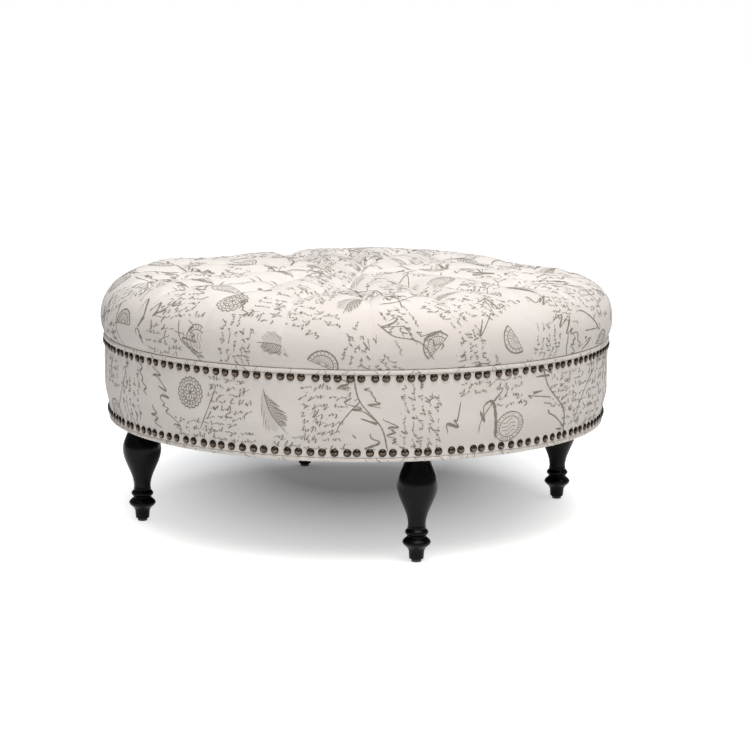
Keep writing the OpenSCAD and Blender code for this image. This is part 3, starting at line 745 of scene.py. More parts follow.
def build_crown():
    rings = crown_rings()
    rim = rings[0][1]
    lengths = np.concatenate([np.full(len(a), s) for s, a in rings])
    angles = np.concatenate([a for _, a in rings])
    points = crown_point(lengths, angles)
    faces, starts = stitch_rings([len(a) for _, a in rings])
    last = starts[len(rings) - 1]
    count = len(rings[-1][1])
    faces += [(last + i, last + (i + 1) % count, len(points)) for i in range(count)]
    middle = [0, 0, points[last:last + count, 2].mean() - 0.2]
    foot = len(points) + 1
    points = np.vstack([points, middle, polar(CROWN_FOOT_R, np.radians(rim), CROWN_Z + 2.4)])
    n = len(rim)
    faces += [(foot + i, foot + (i + 1) % n, (i + 1) % n, i) for i in range(n)]
    faces.append(tuple(foot + i for i in reversed(range(n))))
    lengths = np.concatenate([lengths, [0.0], np.full(n, RIM_LENGTH + 14)])
    angles = np.concatenate([angles, [0.0], rim])
    cloth = []
    for face in faces:
        turn = angles[list(face)]
        if turn.max() - turn.min() > 180:
            turn = np.where(turn < turn.max() - 180, turn + 360, turn)
        cloth += crown_cloth(lengths[list(face)], turn)
    replaced = ("crown_cover", "crown_batting", "crown_foam")
    crown = new_piece("crown_cushion", points, faces, "linen", replaced, cloth)


build_crown()


# The band: the drawn-in bottom, the eased part and the upright top, with the cloth pulled down at the nails
def band_radius(z):
    t = np.clip((z - EASE_START) / (EASE_END - EASE_START), 0, 1)
    return DRAWN_R + (BAND_R - DRAWN_R) * (1 - np.cos(np.pi * t)) / 2


def nail_gap(angle, z):
    gap = np.full(np.shape(angle), 99.0)
    for row in (UPPER_NAILS, LOWER_NAILS):
        turns = np.sort(np.array(nail_angles(row)) % 360)
        turns = np.concatenate([[turns[-1] - 360], turns, [turns[0] + 360]])
        at = np.searchsorted(turns, np.asarray(angle) % 360)
        left = np.abs(angle % 360 - turns[at - 1])
        right = np.abs(turns[np.minimum(at, len(turns) - 1)] - angle % 360)
        along = np.radians(np.minimum(left, right)) * row["r"]
        gap = np.minimum(gap, np.hypot(along, z - row["z"]))
    return gap


BAND_SWELL = 1.3
NAIL_HOLD_R = 6.5
NAIL_HOLD_FADE = 8


def band_swell(angle, z):
    u = np.radians(angle) * BAND_R
    free = 1 - bell(np.maximum(nail_gap(angle, z) - NAIL_HOLD_R, 0) / NAIL_HOLD_FADE)
    ends = np.clip((z - BAND_BOTTOM) / 12, 0, 1) * np.clip((BAND_TOP - z) / 6, 0, 1)
    slow = 0.5 + 0.35 * np.sin(u / 61 + 0.7) * np.sin(z / 33) + 0.2 * np.sin(u / 23 + z / 17)
    return BAND_SWELL * free * ends * slow


def build_band():
    columns = 720
    turns = np.arange(columns) * 360 / columns
    section = [(431.2, BAND_BOTTOM), (DRAWN_R - 1.0, BAND_BOTTOM), (DRAWN_R - 0.3, BAND_BOTTOM + 0.4)]
    outside = len(section)
    section += [(float(band_radius(z)), z) for z in np.linspace(BAND_BOTTOM + 1.2, BAND_TOP - 0.8, 46)]
    inside = len(section)
    section += [(BAND_R - 0.4, BAND_TOP - 0.2), (BAND_R - 1.5, BAND_TOP), (442.4, 314.2)]
    section += [(PANEL_OUT_R, 314.0), (PANEL_OUT_R, DECK_UNDER_Z), (PANEL_IN_R, DECK_UNDER_Z)]
    section += [(PANEL_IN_R, BAND_BOTTOM + 1.7), (431.2, BAND_BOTTOM + 1.7)]
    points = []
    for k, (r, z) in enumerate(section):
        swell = band_swell(turns, np.full(columns, z)) if outside <= k < inside else 0.0
        points.append(polar(r + swell, np.radians(turns), z))
    faces = lathe_faces(columns, len(section), True)
    cloth = lathe_cloth(columns, BAND_R, section)
    replaced = ("side_cover", "side_padding")
    band = new_piece("side_band", np.concatenate(points), faces, "linen", replaced, cloth)


build_band()


# The print: pen strokes, drawn flat in millimetres, then carried onto the cover as thin ribbons of ink
def smooth_line(points, step):
    p = np.asarray(points, dtype=float)
    ends = np.vstack([2 * p[0] - p[1], p, 2 * p[-1] - p[-2]])
    t = np.linspace(0, 1, 6, endpoint=False)[:, None]
    parts = []
    for a, b, c, d in zip(ends, ends[1:], ends[2:], ends[3:]):
        square = 2 * a - 5 * b + 4 * c - d
        cube = 3 * b - a - 3 * c + d
        parts.append(0.5 * (2 * b + (c - a) * t + square * t ** 2 + cube * t ** 3))
    line = np.vstack(parts + [p[-1:]])
    length = lengths_along(line)
    at = np.linspace(0, length[-1], max(int(length[-1] / step) + 1, 2))
    return np.stack([np.interp(at, length, line[:, 0]), np.interp(at, length, line[:, 1])], axis=1)


# A stroke is its points and its width at each: wide where the pen goes down, narrow where it goes up
def pen(points, width, step, taper=True):
    line = smooth_line(points, step)
    way = np.gradient(line, axis=0)
    down = np.clip(-way[:, 1] / (np.linalg.norm(way, axis=1) + 1e-6), -1, 1)
    wide = width * (0.72 + 0.38 * down)
    if taper:
        share = np.linspace(0, 1, len(line))
        wide = wide * np.clip(np.minimum(share, 1 - share) * 9 + 0.35, 0, 1)
    return line, wide


def moved(strokes, x, y, turn):
    a = math.radians(turn)
    spin = np.array([[math.cos(a), math.sin(a)], [-math.sin(a), math.cos(a)]])
    return [(line @ spin + (x, y), wide) for line, wide in strokes]


# A row of uneven pen scratches, high and low: none is a letter and none spells anything
def scribble_row(rng, length, size, width):
    strokes = []
    x = 0.0
    while x < length:
        waves = rng.randint(2, 7)
        points = [(x, rng.uniform(0, 0.6) * size)]
        for _ in range(waves):
            kind = rng.random()
            rise = size * rng.uniform(0.15, 1.3)
            step = size * rng.uniform(0.35, 1.6)
            if kind < 0.16:
                points.append((x + rng.uniform(-0.3, 1.1) * size, rng.uniform(1.6, 2.6) * size))
            elif kind > 0.86:
                points.append((x + rng.uniform(-0.9, 0.3) * size, rng.uniform(-1.5, -0.8) * size))
            else:
                points.append((x + 0.5 * step, rise))
            x += step
            points.append((x, rng.uniform(-0.35, 0.45) * size))
        leaned = [(px + 0.5 * py, py) for px, py in points]
        strokes.append(pen(leaned, width, max(1.15, 0.3 * size)))
        if rng.random() < 0.16:
            dash = [(x + 0.4 * size, 1.9 * size), (x + 0.9 * size, 2.1 * size)]
            strokes.append(pen(dash, width, 1.2, False))
        x += size * rng.uniform(0.9, 2.0)
    return strokes


def scribble_block(rng, wide, tall, size=4.2, width=1.35):
    strokes = []
    pitch = size * rng.uniform(2.9, 3.4)
    rows = max(int(tall / pitch), 1)
    for k in range(rows):
        row = scribble_row(rng, wide * rng.uniform(0.6, 1.0), size, width)
        strokes += moved(row, -wide / 2 + rng.uniform(0, 6), (rows / 2 - k - 0.7) * pitch, 0)
    return strokes


def flourish(rng, length, size=12.0, width=3.0):
    strokes = moved(scribble_row(rng, length, size, width), -length / 2, -size / 2, 0)
    reach = length * rng.uniform(0.5, 0.7)
    if rng.random() < 0.6:
        swing = [(-1, -1.1), (-0.4, -1.7), (0.35, -0.9), (1, -1.8)]
        strokes.append(pen([(reach * x, size * y) for x, y in swing], width * 0.8, 2.5))
    return strokes


def long_stroke(rng, length, width=3.4):
    bend = rng.uniform(-0.12, 0.12) * length
    points = [(-length / 2, 0), (-length / 4, bend), (length / 4, 0.6 * bend), (length / 2, 0)]
    hook = length * 0.09
    points += [(length / 2 + 0.3 * hook, hook), (length / 2 - 0.8 * hook, 1.2 * hook)]
    return [pen(points, width, 2.6)]


def ring(radius, width, flat=1.0, sweep=360.0):
    count = max(int(sweep / 8), 6)
    turns = [math.radians(sweep * i / count) for i in range(count + 1)]
    line = smooth_line([(radius * math.cos(t), flat * radius * math.sin(t)) for t in turns], 2.2)
    return [(line, np.full(len(line), width))]


# A short stroke outward between two shares of a radius
def tick(radius, low, high, turn, width, step, flat=1.0, twist=0.0):
    near = (radius * low * math.cos(turn), flat * radius * low * math.sin(turn))
    far = (radius * high * math.cos(turn + twist), flat * radius * high * math.sin(turn + twist))
    return pen([near, far], width, step, False)


def rosette(rng, radius):
    count = rng.choice((14, 16, 18))
    turns = np.linspace(0, 2 * math.pi, count * 8 + 1)
    reach = radius * (0.9 + 0.12 * np.abs(np.sin(count * turns / 2)))
    edge = smooth_line(polar(reach, turns, 0.0)[:, :2], 1.6)
    strokes = [(edge, np.full(len(edge), 1.8))]
    strokes += ring(radius * 0.8, 1.1) + ring(radius * 0.56, 1.5)
    for k in range(count):
        strokes.append(tick(radius, 0.62, 0.74, 2 * math.pi * (k + 0.5) / count, 2.4, 1.6))
    petals = rng.choice((6, 8))
    petal = [(0, 0), (0.24, 0.13), (0.46, 0.05), (0.5, -0.02), (0.3, -0.09), (0, 0)]
    drawn = pen([(radius * a, radius * b) for a, b in petal], 1.3, 1.6, False)
    for k in range(petals):
        strokes += moved([drawn], 0, 0, 360 * k / petals)
    return strokes


# A round mark: two rings with ticks and wavy lines across them
def ring_mark(rng, radius):
    flat = rng.uniform(0.72, 0.95)
    strokes = ring(radius, 1.6, flat) + ring(radius * 0.7, 1.2, flat)
    ticks = rng.choice((22, 26, 30))
    for k in range(ticks):
        if k % 7 != 3:
            strokes.append(tick(radius, 0.78, 0.92, 2 * math.pi * k / ticks, 1.5, 1.5, flat, 0.05))
    for k in range(4):
        y = radius * (0.42 - 0.28 * k) * flat
        reach = radius * (0.5 if k in (1, 2) else 0.36)
        wave = [(x, y + 1.6 * math.sin(x / 3.2)) for x in np.arange(-reach, reach, 2.4)]
        strokes.append(pen(wave, 1.2, 1.6, False))
    return strokes


def plume(rng, length):
    strokes = [pen([(-length / 2, 0), (0, length * 0.08), (length / 2, -length * 0.04)], 1.6, 2.4)]
    for k in range(int(length / 3.4)):
        share = (k + 1) / (length / 3.4)
        x = -length * 0.36 + 0.84 * length * share
        y = length * 0.08 * (1 - (2 * x / length) ** 2)
        out = length * 0.26 * math.sin(math.pi * min(share * 0.9 + 0.1, 1)) * rng.uniform(0.8, 1.1)
        for side in (-1, 1):
            barb = [(x, y), (x - 0.25 * out, y + side * 0.55 * out), (x - 0.75 * out, y + side * out)]
            strokes.append(pen(barb, 1.0, 2.0))
    return strokes


# A half-round fan of ribs under a double arch
def fan(rng, radius):
    strokes = ring(radius, 2.2, 1, 180) + ring(radius * 0.72, 1.3, 1, 180)
    strokes.append(pen([(-radius, 0), (radius, 0)], 1.5, 2.4, False))
    ribs = rng.choice((9, 11))
    for k in range(1, ribs):
        t = math.pi * k / ribs
        strokes.append(tick(radius, 0.2, 0.66, t, 1.4, 2.0))
        strokes.append(tick(radius, 0.78, 0.93, t + 0.1, 1.8, 2.0))
    return strokes


CROWN_KINDS = """
rows flourish rows rows small_rows sweep rows mark flourish rows plume rows fan flourish rows rosette
""".split()
BAND_KINDS = """
rows script upright hooks mark slant rows sweep fan upright script rosette rows plume
""".split()
CROWN_CELL = 80
BAND_CELLS = 35
BIG_SCRIPTS = 42
GOLDEN_TURN = 2.39996


def crown_motif(rng, kind):
    wide = CROWN_CELL
    tall = CROWN_CELL * 0.84
    parts = {
        "rows": lambda: scribble_block(rng, wide, tall),
        "small_rows": lambda: scribble_block(rng, wide * 0.8, tall * 0.7, 3.5, 1.2),
        "flourish": lambda: flourish(rng, wide, rng.uniform(10, 15), rng.uniform(2.6, 3.6)),
        "sweep": lambda: (
            long_stroke(rng, wide * 1.1) + moved(long_stroke(rng, wide * 0.7, 2.2), 8, -tall * 0.2, 24)
        ),
        "rosette": lambda: rosette(rng, 26),
        "mark": lambda: ring_mark(rng, 27),
        "plume": lambda: plume(rng, 72),
        "fan": lambda: fan(rng, 25),
    }
    return parts[kind]()


def crown_strokes():
    rng = random.Random(20)
    strokes = []
    count = 0
    for j in range(-7, 8):
        for i in range(-8, 9):
            x = (i + 0.5 * (j % 2)) * CROWN_CELL + rng.uniform(-8, 8)
            y = j * CROWN_CELL * 0.87 + rng.uniform(-8, 8)
            kind = CROWN_KINDS[count % len(CROWN_KINDS)]
            count += rng.choice((1, 1, 2))
            turn = rng.choice((0, 0, 90, 90, 180, -24, 62))
            if math.hypot(x, y) < RIM_LENGTH + 30:
                strokes += moved(crown_motif(rng, kind), x, y, turn + rng.uniform(-4, 4))
    for k in range(BIG_SCRIPTS):
        far = RIM_LENGTH * math.sqrt((k + 0.5) / BIG_SCRIPTS)
        way = GOLDEN_TURN * k + rng.uniform(-0.2, 0.2)
        big = flourish(rng, rng.uniform(70, 120), rng.uniform(10, 17), rng.uniform(2.2, 3.6))
        turn = math.degrees(way) + rng.choice((28, 60, 118, 205))
        strokes += moved(big, far * math.cos(way), far * math.sin(way), turn)
    return strokes


# Large curled strokes, bold and few
def bold_curls(rng, count, tall):
    strokes = []
    for k in range(count):
        x = 0.0
        points = []
        for _ in range(rng.randint(4, 6)):
            points.append((x, rng.uniform(0, 1) * tall))
            x += rng.uniform(-0.12, 0.34) * tall
        strokes += moved([pen(points, tall * 0.075, 2.4)], k * tall * 0.9, 0, rng.uniform(-20, 30))
    return strokes


# What a cell of the band holds: strokes, and their place and turn in it
def band_cell(rng, kind, cell):
    lean = rng.uniform(114, 126)
    back = rng.uniform(62, 74)
    rows = scribble_block
    sign = flourish
    parts = {
        "rows": lambda: [(rows(rng, cell * 0.96, 120), 0, 0, 0)],
        "upright": lambda: [(rows(rng, 118, cell * 0.94), 0, 0, 90)],
        "script": lambda: [(sign(rng, 124, 14, 3.2), -20, 0, lean), (sign(rng, 112, 10, 2.5), 16, 4, lean)],
        "hooks": lambda: [(bold_curls(rng, 2, 62), -26, -50, 0), (rows(rng, cell * 0.8, 40), 8, 40, 0)],
        "mark": lambda: [(ring_mark(rng, 28), -4, -26, 20), (rows(rng, cell * 0.9, 56), 4, 34, 0)],
        "sweep": lambda: [
            (long_stroke(rng, 118, 3.6), -16, 0, lean),
            (long_stroke(rng, 96, 2.8), 14, 6, back),
        ],
        "rosette": lambda: [(rosette(rng, 25), 2, 24, 0), (rows(rng, cell * 0.9, 50), 0, -34, 0)],
        "plume": lambda: [(plume(rng, 78), 0, 6, lean), (rows(rng, 50, 36), 20, -42, 0)],
        "fan": lambda: [(fan(rng, 29), 0, -52, 0), (rows(rng, cell * 0.86, 60), 0, 26, 0)],
        "slant": lambda: [(sign(rng, 118, 18, 4.0), 0, 0, lean), (rows(rng, 40, 60, 3.6), 30, 20, 0)],
    }
    return parts[kind]()


def band_strokes():
    rng = random.Random(44)
    strokes = []
    cell = 2 * math.pi * BAND_R / BAND_CELLS
    middle = (BAND_BOTTOM + BAND_TOP) / 2
    for i in range(BAND_CELLS):
        x = (i + 0.5) * cell
        for part, dx, dy, turn in band_cell(rng, BAND_KINDS[i % len(BAND_KINDS)], cell):
            strokes += moved(part, x + dx + rng.uniform(-3, 3), middle + dy + rng.uniform(-3, 3), turn)
        if i % 3 == 1:
            swept = long_stroke(rng, rng.uniform(60, 110), 2.2)
            strokes += moved(swept, x + cell / 2, middle, rng.uniform(50, 75))
    return strokes


# What runs over a piping: short ends of pen strokes, laid along the cord's length and round it
def piping_strokes(seed, ring_r):
    rng = random.Random(seed)
    strokes = []
    x = 0.0
    while x < 2 * math.pi * ring_r - 30:
        for _ in range(rng.randint(1, 4)):
            lean = rng.uniform(-11, 11)
            foot = rng.uniform(-9, -1)
            head = rng.uniform(1, 9)
            wide = rng.choice((1.1, 1.4, 2.0, 2.8))
            middle = (x + 0.5 * lean + rng.uniform(-2, 2), 0.5 * (foot + head))
            strokes.append(pen([(x, foot), middle, (x + lean, head)], wide, 1.0, False))
            x += rng.uniform(4, 13)
        x += rng.uniform(10, 60)
    return strokes


def carry_to_crown(flat):
    length = np.hypot(flat[:, 0], flat[:, 1])
    angle = np.degrees(np.arctan2(flat[:, 1], flat[:, 0]))
    pitch = puff_middle(angle)
    r = np.maximum(section_at(length)[0], 1)
    off = (angle - pitch) * np.where(length > OUTER_TUFT_R, length / r, 1.0)
    kept = (np.abs(off) < SECTOR / 2 - 0.12) | (length < OUTER_TUFT_R)
    kept &= (length < RIM_LENGTH - 3) & (tuft_gap(length, pitch + off) > 11)
    return crown_point(np.minimum(length, RIM_LENGTH), pitch + off, INK_PROUD), kept


def carry_to_band(flat):
    angle = np.degrees(flat[:, 0] / BAND_R)
    z = flat[:, 1]
    kept = (z > BAND_BOTTOM + 1.5) & (z < BAND_TOP - 1.2)
    z = np.clip(z, BAND_BOTTOM, BAND_TOP)
    return polar(band_radius(z) + band_swell(angle, z) + INK_PROUD, np.radians(angle), z), kept


# Ribbons of ink along the strokes: a strip of faces each, cut where the cover hides them
def ink_piece(name, strokes, carry, stray_limit=7.0):
    flats = []
    faces = []
    start = 0
    for line, wide in strokes:
        patchy = np.sin(line[:, 0] * 0.83 + 0.4 * line[:, 1]) * np.sin(line[:, 1] * 0.71 - 0.3 * line[:, 0])
        wide = wide * (1.06 + INK_PATCHY * patchy)
        way = np.gradient(line, axis=0)
        way /= np.linalg.norm(way, axis=1, keepdims=True) + 1e-9
        side = np.stack([-way[:, 1], way[:, 0]], axis=1) * wide[:, None] / 2
        flats.append(np.stack([line + side, line - side], axis=1).reshape(-1, 2))
        k = start + 2 * np.arange(len(line) - 1)
        faces.append(np.stack([k, k + 1, k + 3, k + 2], axis=1))
        start += 2 * len(line)
    points, kept = carry(np.concatenate(flats))
    faces = np.concatenate(faces)
    near = np.linalg.norm(points[faces[:, 0]] - points[faces[:, 2]], axis=1) < stray_limit
    faces = faces[kept[faces].all(axis=1) & near]
    used = np.unique(faces)
    place = np.zeros(len(points), dtype=int)
    place[used] = np.arange(len(used))
    return new_piece(name, points[used], place[faces].tolist(), "ink")


ink_piece("crown_print", crown_strokes(), carry_to_crown)
ink_piece("band_print", band_strokes(), carry_to_band)


# Piping: a covered cord with its sewn lip, a little uneven, round from one turn to another in radians
def build_piping(name, welt, start, end, lip, replaces):
    around = 20
    turns = even_turns(900)
    section = []
    for t in [start + (end - start) * i / (around - 1) for i in range(around)]:
        section.append((welt["r"] + welt["d"] / 2 * math.cos(t), welt["z"] + welt["d"] / 2 * math.sin(t)))
    section += lip
    points = []
    for k, (r, z) in enumerate(section):
        give = 0.0 * turns
        if k < around:
            give = 0.14 * np.sin(turns * 97 + 1.1 * k) * np.sin(turns * 41 + 0.5)
            give += 0.1 * np.sin(turns * 223 + 0.6 * k)
        dr = (r - welt["r"]) / welt["d"] * 2 * give
        dz = (z - welt["z"]) / welt["d"] * 2 * give
        points.append(polar(r + dr, turns, z + dz))
    faces = lathe_faces(len(turns), len(section), True)
    cloth = lathe_cloth(len(turns), welt["r"], section)
    new_piece(name, np.concatenate(points), faces, "linen", replaces, cloth)


def print_piping(name, seed, welt, low_turn, high_turn):
    def carry(flat):
        turn = flat[:, 1] / (welt["d"] / 2) + (low_turn + high_turn) / 2
        kept = (turn > low_turn) & (turn < high_turn)
        reach = welt["d"] / 2 + 0.25
        r = welt["r"] + reach * np.cos(turn)
        return polar(r, flat[:, 0] / welt["r"], welt["z"] + reach * np.sin(turn)), kept

    return ink_piece(name, piping_strokes(seed, welt["r"]), carry)


TOP_LIP = [(439.3, 321.4), (439.3, 315.5), (440.5, 315.5), (440.5, 318.6)]
BOTTOM_LIP = [(431.4, 178.6), (404.5, 178.6), (404.5, 177.8), (431.7, 177.8)]
build_piping("top_piping", TOP_WELT, -2.35, 3.05, TOP_LIP, ("top_welt", "top_welt_cord"))
build_piping("bottom_piping", BOTTOM_WELT, -2.42, 2.55, BOTTOM_LIP, ("bottom_welt", "bottom_welt_cord"))
print_piping("top_piping_print", 8, TOP_WELT, -1.1, 1.15)
print_piping("bottom_piping_print", 9, BOTTOM_WELT, -2.2, 1.15)


# Turned legs
def eased(a, b, n):
    line = []
    for i in range(n + 1):
        share = (1 - math.cos(math.pi * i / n)) / 2
        line.append((a[0] + (b[0] - a[0]) * share, a[1] + (b[1] - a[1]) * i / n))
    return line


def bead(middle, half_h, peak_r, n, base_r=15.2):
    line = []
    for i in range(-n, n + 1):
        swell = max(math.cos(math.pi / 2 * i / n), 0) ** 1.3
        line.append((base_r + (peak_r - base_r) * swell, middle + half_h * i / n))
    return line


def leg_outline():
    line = [(10.6, 5), (11.4, 5.2), (11.9, 6.0), (12, 7), (12.5, 13), (13, 19)]
    line += bead(33, 10, 23.3, 14)
    line += bead(49.5, 6.5, 19.3, 10)[1:]
    line += eased((15.2, 57), (14.5, 62), 4)
    line += eased((14.5, 62), (33.5, 129), 34)[1:]
    return line + eased((33.5, 129), (20.5, LEG_H), 26)[1:]


for leg_name, leg_angle in LEG_ANGLES.items():
    axis = polar(LEG_CIRCLE_R, math.radians(leg_angle), 0.0)
    rings = [axis + polar(r, even_turns(72), float(z)) for r, z in leg_outline()]
    points, faces = capped_shape(rings, axis + (0, 0, LEG_H), axis + (0, 0, 5.0))
    new_piece(leg_name + "_turned", points, faces, "lacquer", (leg_name,))


# One domed nail, its flat side at x = 0 and its head towards +x
def nail_mesh():
    turns = even_turns(16)
    dome = NAIL_DOME_H - 0.7
    head_r = NAIL_D / 2 + NAIL_HEAD_MORE
    ball = (head_r ** 2 + dome ** 2) / (2 * dome)
    section = [(head_r - 0.7, 0.0), (head_r, 0.4), (head_r - 0.05, 0.85)]
    for r in [head_r * t for t in (0.93, 0.78, 0.52, 0.24)]:
        section.append((r, 0.7 + math.sqrt(ball ** 2 - r ** 2) - (ball - dome)))
    rings = [np.roll(polar(r, turns, x), 1, axis=1) for r, x in section]
    mesh = new_mesh("nail_shape", *capped_shape(rings, (NAIL_DOME_H, 0, 0), (0.0, 0, 0)))
    # Dome share of each ring, 0 round the rim and 1 at the top: the bronze is painted near-black where it is
    # low, a painted shade round the nail's rim
    shade = list(np.repeat((0.0, 0.0, 0.0, 0.25, 0.65, 1.0, 1.0), len(turns))) + [1.0, 0.0]
    mesh.attributes.new("dome", "FLOAT", "POINT").data.foreach_set("value", shade)
    return mesh


# A covered button: a low dome gathered under at its edge
def button_mesh():
    turns = even_turns(40)
    section = [(1.4, -3.0), (1.4, 0.0), (6.0, 0.0), (8.8, 0.6), (9.8, 1.7)]
    section += [(10.0, 2.8), (9.6, 4.4), (8.2, 6.2), (5.8, 7.4), (2.8, 7.95)]
    rings = []
    for k, (r, z) in enumerate(section):
        gather = 0.16 * np.sin(13 * turns) * max(0.0, 1 - abs(z - 1.8) / 3.0) if k > 2 else 0.0
        rings.append(polar(r + gather, turns, z))
    mesh = new_mesh("button_shape", *capped_shape(rings, (0, 0, 8.0), (0, 0, -3.0)))
    layer = mesh.uv_layers.new(name="cloth")
    for loop in mesh.loops:
        place = mesh.vertices[loop.vertex_index].co
        layer.data[loop.index].uv = (place.x * 1.1, place.y * 1.1)
    return mesh


# A tree that sets a copy of one shape at each point it is given, turned about Z by the point's own turn
def build_setting_tree():
    tree = bpy.data.node_groups.new("set_at_points", "GeometryNodeTree")
    tree.is_modifier = True
    kinds = {"Shape": "Object", "Lean": "Float", "Seed": "Int"}
    for label, kind in {"Geometry": "Geometry", "Material": "Material", **kinds}.items():
        tree.interface.new_socket(label, in_out="INPUT", socket_type="NodeSocket" + kind)
    tree.interface.new_socket("Geometry", in_out="OUTPUT", socket_type="NodeSocketGeometry")
    given = tree.nodes.new("NodeGroupInput").outputs
    out = tree.nodes.new("NodeGroupOutput")
    shape = add_node(tree, "GeometryNodeObjectInfo", {"Object": given["Shape"]})
    turn = add_node(tree, "GeometryNodeInputNamedAttribute", {"Name": "turn"}, data_type="FLOAT").outputs[0]
    limits = {2: math_node(tree, "MULTIPLY", given["Lean"], -1.0), 3: given["Lean"], "Seed": given["Seed"]}
    lean = add_node(tree, "FunctionNodeRandomValue", limits, data_type="FLOAT").outputs[1]
    tilt = add_node(tree, "ShaderNodeCombineXYZ", {"Y": lean, "Z": turn}).outputs[0]
    setting = {"Points": given["Geometry"], "Instance": shape.outputs["Geometry"], "Rotation": tilt}
    put = add_node(tree, "GeometryNodeInstanceOnPoints", setting)
    real = add_node(tree, "GeometryNodeRealizeInstances", {"Geometry": put.outputs[0]})
    finish = {"Geometry": real.outputs[0], "Material": given["Material"]}
    tree.links.new(add_node(tree, "GeometryNodeSetMaterial", finish).outputs[0], out.inputs[0])
    return tree


SETTING = build_setting_tree()


def set_at_points(name, shape_mesh, places, turns, material, replaces, lean, seed):
    shape = bpy.data.objects.new(name + "_shape", shape_mesh)
    mesh = new_mesh(name + "_points", places, [])
    mesh.attributes.new("turn", "FLOAT", "POINT").data.foreach_set("value", np.radians(turns))
    holder = add_object(name + "_holder", mesh)
    modifier = holder.modifiers.new("setting", "NODES")
    modifier.node_group = SETTING
    ids = {item.name: item.identifier for item in SETTING.interface.items_tree if item.in_out == "INPUT"}
    settings = {"Shape": shape, "Lean": math.radians(lean), "Seed": seed, "Material": MATERIALS[material]}
    for label, value in settings.items():
        modifier[ids[label]] = value
    bpy.context.view_layer.update()
    made = holder.evaluated_get(bpy.context.evaluated_depsgraph_get())
    result = bpy.data.meshes.new_from_object(made)
    result.name = name
    piece = add_object(name, result)
    bpy.data.objects.remove(holder)
    bpy.data.objects.remove(shape)
    return finish_piece(piece, replaces)


def nail_row(name, row, replaces):
    turns = nail_angles(row)
    places = polar(row["r"], np.radians(turns), row["z"])
    set_at_points(name, nail_mesh(), places, turns, "bronze", replaces, 4.0, row["seed"])


def build_buttons():
    radii, angles = np.array(TUFTS).T
    places = polar(radii, np.radians(angles), SEAT_Z + 0.3)
    turns = angles + 41 * np.arange(len(TUFTS))
    replaced = ("tuft_buttons",)
    set_at_points("covered_buttons", button_mesh(), places, turns, "linen", replaced, 3.0, 5)


nail_row("upper_nail_heads", UPPER_NAILS, ("upper_nails",))
nail_row("lower_nail_heads", LOWER_NAILS, ("lower_nails",))
build_buttons()


# The dust cover: thin black cloth, pulled flat and sagging a little between its staples
def build_dust_cover():
    turns = even_turns(128)
    radii = [DUST_R, 420, 400, 370, 330, 280, 220, 150, 80, 20]
    points = []
    for r, level in [(r, 0.0) for r in reversed(radii)] + [(r, DUST_T) for r in radii]:
        sag = 0.0 if r > 400 else DUST_SAG * math.cos(r / 400 * math.pi / 2)
        ripple = DUST_RIPPLE * np.sin(16 * turns) if 300 < r < 425 else 0.0
        points.append(polar(r, turns, LEG_H + 0.05 + level + sag + ripple))
    rows = len(points)
    columns = len(turns)
    faces = lathe_faces(columns, rows, False)
    faces.append(tuple(reversed(range(columns))))
    faces.append(tuple(range((rows - 1) * columns, rows * columns)))
    points = np.concatenate(points)
    cloth = new_piece("dust_cloth", points, faces, "cambric", ("dust_cover",))


build_dust_cover()

# Materials of the nodes that stay as the CAD made them
NODE_MATERIALS = {
    "foot_glides": "glide",
    "leg_blocks": "plywood",
    "base_ring": "plywood",
    "deck_board": "plywood",
    "frame_posts": "softwood",
    "side_panel": "board",
    "tufting_twine": "twine",
}
STEEL_NODES = ["hanger_bolts", "leg_inserts", "frame_screws"]
STEEL_NODES += ["twine_staples", "welt_staples", "dust_cover_staples"]
NODE_MATERIALS.update({name: "zinc" for name in STEEL_NODES})
for node_name, node_object in nodes.items():
    finish = MATERIALS[NODE_MATERIALS.get(node_name, "linen")]
    if not node_object.material_slots:
        node_object.data.materials.append(finish)
    for slot in node_object.material_slots:
        slot.material = finish

# The photograph's view: the camera's turn, place and aim in metres and radians, and its lens
VIEW_TURN = math.radians(29.42)
VIEW_OFFSET = 33.475 * MM
VIEW_DISTANCE = 3.8
VIEW_LIFT = 0.2292
VIEW_PITCH = 0.1656
VIEW_ROLL = 0.0096
FOCAL_PX = 2102.7
PHOTO_PX = 750
SENSOR_W = 36
TOWARD = Matrix.Rotation(VIEW_TURN, 3, "Z")

# How the floor glows for the camera: [from, to, least, most], by distance from the middle of its painted
# shadow in metres; the glow is low near that spot, a painted shadow under and behind the ottoman beside the
# lamps' real one
FLOOR_GLOW = [(0.40, 1.10, 0.12, 0.82), (1.10, 5.0, 0.0, 0.18)]
PAINTED_SHADOW_SPOT = (0.0, 0.55, 0.0)
PAINTED_SHADOW_OVAL = (0.5, 1, 1)

# Lamps: [place, size, power, tint], placed as seen from the camera's side and aimed at the crown
LAMP_AIM = Vector((0, 0, 0.3))
LAMPS = {
    "overhead_softbox": [(0.0, 0.2, 3.3), 3.4, 48, (0.95, 1.0, 1.06)],
    "front_softbox": [(0.0, -1.6, 2.9), 2.0, 37, (1.02, 1.0, 0.965)],
    "right_softbox": [(1.3, -1.3, 2.9), 2.0, 24, (1.02, 1.0, 0.965)],
}


# 1 for the kinds of ray that are named, 0 for the others
def rays_of(tree, *kinds):
    rays = add_node(tree, "ShaderNodeLightPath").outputs
    seen = rays[f"Is {kinds[0]} Ray"]
    for kind in kinds[1:]:
        seen = math_node(tree, "MAXIMUM", seen, rays[f"Is {kind} Ray"])
    return seen
